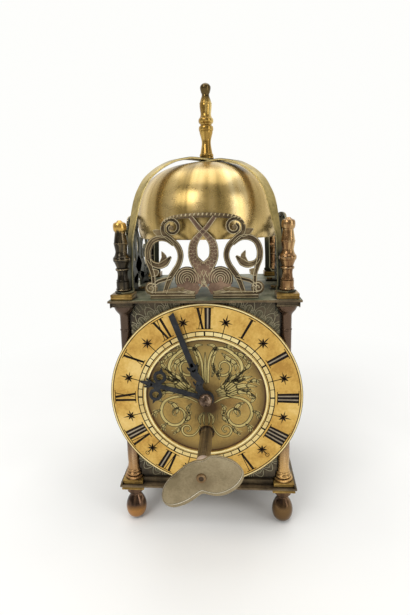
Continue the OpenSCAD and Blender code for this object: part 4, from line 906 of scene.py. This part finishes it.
for flip in (False, True):
    # Small scroll beside the winding hole and the round lower volute
    scroll([(3.4, -16.8), (5, -20.4), (7.8, -22.8), (11.6, -22.6), (13.4, -19.8), (12.2, -17.2),
        (9.8, -17), (8.6, -18.8), (9.8, -20.4), (11, -19.6)], [0.5, 0.9, 1.1, 1.2, 1.1, 1, 0.9, 0.7, 0.4],
        flip)
    scroll([(4.6, -3.4), (9, -1), (14, 0), (19.4, -1.2), (23, -4), (24.4, -9), (22.8, -13.6), (19, -16.6),
        (14.6, -16.2), (11.8, -12.8), (12, -9), (14.6, -6.8), (17.4, -7.8), (18, -10.2), (16.2, -11.4)],
        [0.6, 1, 1.2, 1.4, 1.6, 1.7, 1.7, 1.6, 1.5, 1.3, 1.1, 0.9, 0.7, 0.4], flip)
    lobed([(20.6, -3.2), (17.6, -4.4), (15.6, -7.4), (16.4, -10.4)], 2.0, flip, 2)
    lobed([(23.8, -3.4), (25.4, -0.6), (24, 2.2)], 1.9, flip, 1)
    lobed([(12.4, -15.6), (9.6, -12.4), (9.4, -8.6)], 1.7, flip, 2)
    # Upper volute
    scroll([(1.3, 8), (1.5, 14), (2, 20), (4.4, 25.6), (9, 27), (14, 24.4), (18, 20.2), (19.2, 15.4),
        (17.4, 11), (13.4, 8.8)], [1, 1.2, 1.3, 1.4, 1.5, 1.7, 1.8, 1.7, 1.5, 0.8], flip)
    scroll([(5, 23.4), (3.9, 18.4), (5.4, 13.8), (9.2, 12), (12.6, 13.8), (13.2, 17.4), (10.8, 19.8),
        (8, 18.8), (7.6, 16.4), (9.2, 15.2)], [1, 1.2, 1.3, 1.3, 1.2, 1.1, 1, 0.8, 0.4], flip)
    lobed([(8.6, 24.4), (12, 21.4), (15.6, 18.6), (15.8, 14.4)], 2.1, flip, 3)
    lobed([(1, 28.8), (4.4, 28.4), (5.4, 25), (3.2, 22)], 1.7, flip, 1)
    lobed([(14.8, 24.6), (18.8, 23.4), (22, 20.4)], 1.8, flip, 2)
    # Acanthus leaves that sweep out to the side
    for points, w in (([(5, 3), (9, 5.4), (12.6, 9.4), (17, 12.2), (21.6, 15.6)], 2.5),
            ([(5.6, 2.2), (11, 4.4), (15.6, 8.6), (20.4, 10.6), (24.6, 11.6)], 2.6),
            ([(6, 1.2), (12, 2.8), (17, 5.8), (22.4, 6.4), (27.2, 5.8)], 2.6),
            ([(6.2, 0.2), (12, 1.2), (17.6, 2.8), (22.6, 2.2), (26.6, -0.6)], 2.2)):
        lobed(points, w, flip, 3)
    leaf([(1.4, -9), (3.8, -12.4), (3.2, -16.4)], 1.4, flip)
    for points, w in (([(22, 8), (25.6, 9.4), (28.4, 8.2)], 1.5), ([(19, 14), (22.6, 17.4), (23, 20.4)],
            1.6), ([(9, 6.6), (12.4, 10.8), (13.4, 13.6)], 1.4), ([(7.4, 9.6), (6.4, 13), (8.6, 16)], 1.3),
            ([(24.6, -8), (27.6, -9.2), (28.4, -12.4)], 1.5), ([(21, -15.6), (23.8, -17.6), (23.4, -20.6)],
            1.4), ([(14, -16.6), (15.6, -20), (18.6, -21.6)], 1.4), ([(7.8, -4), (10, -6.8), (9.2, -10)],
            1.3), ([(9.6, 27.2), (12.6, 28.4), (15.4, 26.6)], 1.4), ([(3.2, 11), (4.6, 15), (4, 19)], 1.2),
            ([(17.8, 4.4), (21, 3.6), (24, 4.6)], 1.3), ([(15, 9), (18.2, 9), (21, 10.6)], 1.2)):
        lobed(points, w, flip, 2)
    leaf([(0.8, -9), (1.6, -13), (1, -16.6)], 1.1, flip)
leaf([(0, 7), (0, 14), (0, 25)], 1.7, False)
for k in range(13):
    line_band(dark, [(k - 6, -9 - 0.2 * abs(k - 6)), (k - 6, -15.6 + 0.35 * abs(k - 6))],
        [0.2, 0.26, 0.14], Y_CUT, 2)
light.made("dial_scrolls", "engraved_light", smooth=0)
dark.made("dial_scroll_lines", "engraved_dark", smooth=0)

# Winding hole rim
Shape().lathe([(3.8, -0.03), (4.3, -0.05), (4.3, 0.2)], (0, HOLE_Z), 48, axis="y",
    origin=Y_RING_BACK).made("winding_hole_rim", "dial_shade")


# The hands

HAND = [(-1, 0), (-1, 0.35), (-0.55, 0.66), (0.55, 0.66), (1, 0.35), (1, 0)]


def on_hand(angle, y_front):
    def to3(x, y, h):
        (u, w), = turned_by([(x, y)], angle)
        return (u, y_front + 0.7 - h, DIAL_Z + w)
    return to3


def loop(shape, centre, r_out, r_in, to3, seg=36):
    mid, half = (r_out + r_in) / 2, (r_out - r_in) / 2
    shape.rows([[to3(*around(centre, mid + half * u, 360 * k / seg), h) for u,
        h in HAND] for k in range(seg)], closed_across=True, closed_along=True)


def minute():
    s, to3, l = Shape(), on_hand(340, Y_MINUTE), 49.0
    s.disc((0, 0), [(4, 0), (4, 0.45), (3.7, 0.68), (1.6, 0.7)], to3)
    s.band([(0, 3), (-0.9, 7), (0.9, 11), (-0.4, 15), (0.3, 18), (0, 21)], [3.6, 4, 3.2, 4, 3.8, 2.7],
        HAND, to3, 6)
    s.band([(0, 19), (0, l * 0.6), (0, l - 0.6)], [2.7, 3.1, 3.2], HAND, to3, 4)
    s.prism([(-1.55, l - 1.2), (1.55, l - 1.2), (1.5, l + 0.3), (-1.4, l - 0.8)], to3, 0.6)
    for k in (-1, 1):
        s.band([(0, 16.6), (k * 1.8, 17.8), (k * 2.7, 19.8)], [1.8, 1.3, 0.6], HAND, to3, 4)
        s.band([(k * 0.6, 8.6), (k * 2.2, 9.4), (k * 2.5, 11.4)], [1.4, 1.1, 0.6], HAND, to3, 4)
    return s.made("minute_hand_shape", "blued", body="centre_arbor", stands_for=("minute_hand",), smooth=50)


def hour():
    s, to3, l = Shape(), on_hand(285, Y_HOUR), 35.8
    r = l - 9.6
    s.disc((0, 0), [(4.4, 0), (4.4, 0.45), (4.1, 0.68), (2.4, 0.7)], to3)
    s.band([(0, 3), (0, 8), (0, 12), (0, r)], [3.4, 2.4, 3, 2.2], HAND, to3, 5)
    s.disc((0, r), [(2.4, 0), (2.4, 0.4), (1.9, 0.66), (0.4, 0.7)], to3)
    for k in (-1, 1):
        loop(s, (k * 5.1, r), 3.5, 1.8, to3)
        s.band([(k * 8.3, r), (k * 10.4, r + 0.4)], [1.8, 0.3], HAND, to3, 2)
        s.band([(0, r + 3.2), (k * 1.6, r + 4.8), (k * 2.4, r + 7)], [1.6, 1.3, 0.6], HAND, to3, 4)
    s.band([(0, r), (0, r + 5), (0, l)], [3, 2.4, 0.8], HAND, to3, 4)
    return s.made("hour_hand_shape", "blued", body="hour_wheel", stands_for=("hour_hand",), smooth=50)


minute()
hour()
nut = [(1.55, 0), (3.5, 0), (3.65, -0.4), (3.6, -1.2), (3.35, -1.6), (3.1, -2), (2.7, -2.35), (2.2, -2.6),
    (1.6, -2.8), (1.45, -2.9), (1.3, -2.7), (0.001, -2.6)]
Shape().lathe(nut, (0, DIAL_Z), 48, axis="y", origin=Y_MINUTE).made("dome_nut", "nut", body="centre_arbor",
    stands_for=("hand_nut",))


# The key

WING = [(-0.1, 8.7), (-4.1, 8.2), (-8.3, 6.6), (-12.4, 4.9), (-15.7, 3.1), (-18.4, 0.7), (-20.3, -2.2),
    (-21, -5.3), (-20.1, -8.1), (-17.6, -10), (-13.7, -10.4), (-9.4, -9.8), (-5.3, -8.5), (-2.2, -7.6),
    (0.4, -9.2), (3.6, -10.9), (7.4, -11.4), (11.8, -10.6), (15.5, -8.7), (17.9, -6.3), (18.9, -3.5),
    (18.2, 0.1), (16.3, 3.4), (13.5, 5.9), (10.6, 7.8), (7.5, 8.7), (3.7, 8.1)]
KEY_TILT = 20


def on_key(x, y, h):
    """The wing's drawing, its thickness growing away from the viewer."""
    return (x * cos(KEY_TILT) - y * sin(KEY_TILT), Y_WING + h, HOLE_Z + x * sin(KEY_TILT) + y *
        cos(KEY_TILT))


outline = smooth_line(WING + [WING[0]], 3)[:-1]
Shape().prism(outline, on_key, 1.3).made("key_wing_plate", "wing", body="key", stands_for=("key_wing",),
    bevel=0.2, smooth=40)
# The bevel along the lower and right edges, with a painted highlight
bevel_rows, line_rows = [], []
for i, (x, y) in enumerate(outline):
    a, b = outline[i - 1], outline[(i + 1) % len(outline)]
    d = math.hypot(b[0] - a[0], b[1] - a[1])
    nx, ny = (b[1] - a[1]) / d, -(b[0] - a[0]) / d
    across, upward = nx * cos(KEY_TILT) - ny * sin(KEY_TILT), nx * sin(KEY_TILT) + ny * cos(KEY_TILT)
    w = 0.25 + 1.5 * max(0, across * 0.5 - upward * 0.9)
    bevel_rows.append([on_key(x - nx * 0.1, y - ny * 0.1, 0.12), on_key(x - nx * w, y - ny * w, -0.02)])
    line_rows.append([on_key(x - nx * (w + q), y - ny * (w + q), -0.015) for q in (0, 0.22)])
Shape().rows(bevel_rows, closed_along=True).made("key_wing_bevel", "wing_edge_highlight", body="key", smooth=40)
Shape().rows(line_rows, closed_along=True).made("key_wing_line", "wing_line", body="key", smooth=0)

pipe = [(1.75, -42), (1.75, -40), (3.1, -40), (3.3, -40.3), (3.3, -49.2), (3.2, -49.5), (3.2, -49.9),
    (3.3, -50.2), (3.3, -81.6), (3.2, -81.9), (3.2, -82.3), (3.3, -82.6), (3.3, -84.7), (3.0, -85),
    (0.001, -85)]
Shape().lathe(pipe, (0, HOLE_Z), 48, axis="y").made("key_pipe_tube", "pipe", body="key",
    stands_for=("key_pipe",))
Shape().lathe([(3.25, -73), (3.36, -73.2), (3.36, -77.3), (3.25, -77.5)], (0, HOLE_Z), 48,
    axis="y").made("key_pipe_end", "pipe_end", body="key")
rivet = [(2.3, 0), (2.3, -0.35), (2.15, -0.65), (1.9, -0.78), (1.4, -0.8), (1.15, -0.65)]
Shape().lathe(rivet, (0, HOLE_Z), 40, axis="y", origin=Y_WING).made("key_rivet_head", "rivet", body="key",
    stands_for=("key_rivet",))
Shape().lathe([(1.2, -0.6), (0.9, -0.42), (0.001, -0.35)], (0, HOLE_Z), 40, axis="y",
    origin=Y_WING).made("key_rivet_hollow", "rivet_core", body="key")


# Plates and engraving on the case

Shape().box((-PLATE, -PLATE, FOOT_H), (PLATE, PLATE, Z_LOW)).made("plate_lower", "plate",
    stands_for=("bottom_plate",), bevel=0.3)
Shape().box((-PLATE, -PLATE, Z_HIGH), (PLATE, PLATE, Z_TOP)).made("plate_upper", "plate",
    stands_for=("top_plate",), bevel=0.3)
skin, rim_line = PLATE - 0.35, Shape()
Shape().box((-skin, -skin, Z_TOP - 0.1), (skin, skin, Z_TOP + 0.03)).made("plate_upper_skin", "plate_top",
    bevel=0.02)
# A bright strip round the upper plate's top edges: a painted highlight
for a in range(4):
    turn = Matrix.Rotation(math.radians(90 * a), 3, "Z")
    corners = [turn @ Vector(p) for p in ((-skin, -PLATE - 0.01, Z_TOP - 0.36),
        (skin, -PLATE - 0.01, Z_TOP - 0.36), (skin, -PLATE + 0.3, Z_TOP + 0.01),
        (-skin, -PLATE + 0.3, Z_TOP + 0.01))]
    rim_line.add([tuple(p) for p in corners], [(0, 1, 2, 3)])
rim_line.made("plate_upper_rim", "strap_edge_highlight", smooth=0)

side_strips = Shape()
for s in (-1, 1):
    side_strips.box((min(s * 36.9, s * 39.6), Y_SHEET - 0.1, Z_LOW),
        (max(s * 36.9, s * 39.6), Y_SHEET + 0.4, Z_HIGH))
side_strips.made("front_plate_sides", "front")

# Leaves, each with a smaller row between them, fanned round the dial, and rays in the top corners
leaves, hatch = Shape(), Shape()


def on_plate(x, y):
    return abs(x) < 38.6 and Z_LOW + 3.2 < y + DIAL_Z < Z_HIGH - 0.3


def engraved(shape, points, a, widths, y, n):
    line_band(shape, turned_by(points, a), widths, y, n, on_plate)


for row, (r0, r1, w, count) in enumerate(((50.8, 57.2, 2.5, 56), (50.2, 53.4, 1.5, 56))):
    y = Y_FRONT - 0.02 - 0.01 * row
    for k in range(count):
        a = 360 * (k + 0.5 * row) / count
        for share in (1, 0.62):
            for s in (-1, 1):
                side = s * w * share
                engraved(leaves, [(side * 0.85, r0), (side, lerp(r0, r1, 0.42)),
                    (side * 0.55, lerp(r0, r1, 0.78 * share + 0.06)), (0, lerp(r0, r1, share))], a,
                    [0.22, 0.3, 0.24], y, 4)
        engraved(leaves, [(0, r0), (0, lerp(r0, r1, 0.55))], a, [0.22, 0.14], y, 3)
        for j in range(5):
            u = lerp(-w * 0.5, w * 0.5, j / 4)
            engraved(hatch, [(u, r0 + 0.5), (u * 0.8, lerp(r0, r1, 0.6 - abs(u) * 0.06))], a, [0.3, 0.2], y
                + 0.005, 3)
for k in range(60):
    for s in (-1, 1):
        a = s * (24 + 40 * k / 59)
        engraved(hatch if k % 3 else leaves, [(0, 56.8), (0, 61)], a, [0.2, 0.12], Y_FRONT - 0.02, 2)
leaves.made("front_plate_leaves", "leaf_line", smooth=0)
hatch.made("front_plate_hatching", "leaf_hatch", smooth=0)

PAINT = {"dial_centre": "dial_middle", "front_plate": "front", "left_panel": "front", "right_panel":
    "front", "back_door": "front", "plinth_mouldings": "moulding", "cornice_mouldings": "moulding",
    "fret_screws": "block", "bell_nut": "brass_top", "door_knob": "brass_top", "door_pins": "steel",
    "mainspring": "spring", "hairspring": "spring", "click_spring": "spring"}
STEEL = ("movement_nuts", "barrel_arbor", "ratchet_wheel", "click", "click_screw", "centre_arbor",
    "cannon_pinion", "minute_wheel_stud", "lever", "balance_staff", "hairspring_stud")
for name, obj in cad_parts.items():
    obj.data.materials.clear()
    obj.data.materials.append(M[PAINT.get(name, "steel" if name in STEEL else "movement")])


# Stage, lights and camera

BACKDROP = (0.99, 0.99, 0.97, 1)


def for_seen_rays(tree):
    """1 for camera, glossy and transmission rays, 0 for the rays that light the clock."""
    path = tree.nodes.new("ShaderNodeLightPath")
    two = maths(tree, "MAXIMUM", path.outputs["Is Camera Ray"], path.outputs["Is Glossy Ray"])
    return maths(tree, "MAXIMUM", two, path.outputs["Is Transmission Ray"])


floor_mat = bpy.data.materials.new("floor")
floor_mat.use_nodes = True
ft = floor_mat.node_tree
floor_bsdf = ft.nodes["Principled BSDF"]
grain = noise(ft, ft.nodes.new("ShaderNodeTexCoord").outputs["Object"], 9, 2)
ft.links.new(ramp(ft, grain, [(0.3, (0.86, 0.855, 0.83, 1)), (0.7, (0.89, 0.885, 0.86, 1))]),
    floor_bsdf.inputs["Base Color"])
floor_bsdf.inputs["Roughness"].default_value = 0.75
floor_bsdf.inputs["Specular IOR Level"].default_value = 0.1
glow = node(ft, "ShaderNodeEmission", Color=BACKDROP, Strength=1.0)
spot_at = ft.nodes.new("ShaderNodeNewGeometry").outputs["Position"]
away = vector(ft, "LENGTH", vector(ft, "SUBTRACT", spot_at, (0, 0.05, 0)))
fade = ramp(ft, away, [(0.12, grey(0)), (0.36, grey(1))])
blend = ft.nodes.new("ShaderNodeMixShader")
ft.links.new(maths(ft, "MULTIPLY", fade, for_seen_rays(ft)), blend.inputs[0])
ft.links.new(floor_bsdf.outputs[0], blend.inputs[1])
ft.links.new(glow.outputs[0], blend.inputs[2])
ft.links.new(blend.outputs[0], ft.nodes["Material Output"].inputs["Surface"])
floor_mesh = bpy.data.meshes.new("floor")
floor_mesh.from_pydata([(-4, -2.5, 0), (4, -2.5, 0), (4, 6, 0), (-4, 6, 0)], [], [(0, 1, 2, 3)])
floor = bpy.data.objects.new("floor", floor_mesh)
floor_mesh.materials.append(floor_mat)
bpy.context.scene.collection.objects.link(floor)

world = bpy.data.worlds.new("studio")
bpy.context.scene.world = world
world.use_nodes = True
wt = world.node_tree
wt.nodes.clear()
out = wt.nodes.new("ShaderNodeOutputWorld")
room = node(wt, "ShaderNodeBackground", Strength=1.0)
seen = node(wt, "ShaderNodeBackground", Strength=1.0)
split = wt.nodes.new("ShaderNodeSeparateXYZ")
wt.links.new(wt.nodes.new("ShaderNodeTexCoord").outputs["Generated"], split.inputs[0])
wt.links.new(ramp(wt, split.outputs["Z"], [(0.0, grey(0.42)), (0.3, grey(0.52)), (0.8, grey(0.8))]),
    room.inputs["Color"])
# White behind the clock, a darker room in front of it, which the metal shows
depth = maths(wt, "MULTIPLY_ADD", split.outputs["Y"], 0.5, 0.5)
reflected = ramp(wt, depth, [(0.0, (0.34, 0.33, 0.31, 1)), (0.32, (0.2, 0.19, 0.175, 1)),
    (0.55, (0.62, 0.61, 0.58, 1)), (0.74, BACKDROP)])
wt.links.new(mixed(wt, wt.nodes.new("ShaderNodeLightPath").outputs["Is Camera Ray"], reflected, BACKDROP),
    seen.inputs["Color"])
mix = wt.nodes.new("ShaderNodeMixShader")
wt.links.new(for_seen_rays(wt), mix.inputs[0])
wt.links.new(room.outputs[0], mix.inputs[1])
wt.links.new(seen.outputs[0], mix.inputs[2])
wt.links.new(mix.outputs[0], out.inputs["Surface"])


def area_light(name, at, towards, size, power):
    data = bpy.data.lights.new(name, "AREA")
    data.shape = "RECTANGLE"
    data.size, data.size_y = size
    data.energy = power
    obj = bpy.data.objects.new(name, data)
    bpy.context.scene.collection.objects.link(obj)
    obj.location = at
    obj.rotation_euler = (Vector(towards) - Vector(at)).to_track_quat("-Z", "Y").to_euler()


area_light("key_light", (-0.45, -0.7, 0.75), (0, 0, 0.12), (0.45, 0.45), 3.6)
area_light("fill_light", (0.8, -0.55, 0.4), (0, 0, 0.12), (0.3, 0.8), 2.0)
area_light("top_light", (0, 0.1, 1.1), (0, 0, 0.1), (0.9, 0.9), 4.0)

# The camera that a fit to the photograph gave
YAW, PITCH, ROLL = math.radians(-3.89), math.radians(-12.2), math.radians(-1.16)
ahead = Vector((math.sin(YAW) * math.cos(PITCH), math.cos(YAW) * math.cos(PITCH), math.sin(PITCH)))
right = Vector((math.cos(YAW), -math.sin(YAW), 0))
up = right.cross(ahead)
camera_x = right * math.cos(ROLL) + up * math.sin(ROLL)
camera_y = up * math.cos(ROLL) - right * math.sin(ROLL)
data = bpy.data.cameras.new("camera")
camera = bpy.data.objects.new("camera", data)
bpy.context.scene.collection.objects.link(camera)
m = Matrix((camera_x, camera_y, -ahead)).transposed().to_4x4()
m.translation = place((14.6, -253.6, 169.9))
camera.matrix_world = m
data.sensor_fit = "VERTICAL"
data.sensor_height = 36
data.lens = 419.3 / 615 * 36
data.clip_start = 0.01
data.clip_end = 50
bpy.context.scene.camera = camera
bpy.context.scene.view_settings.view_transform = "Standard"
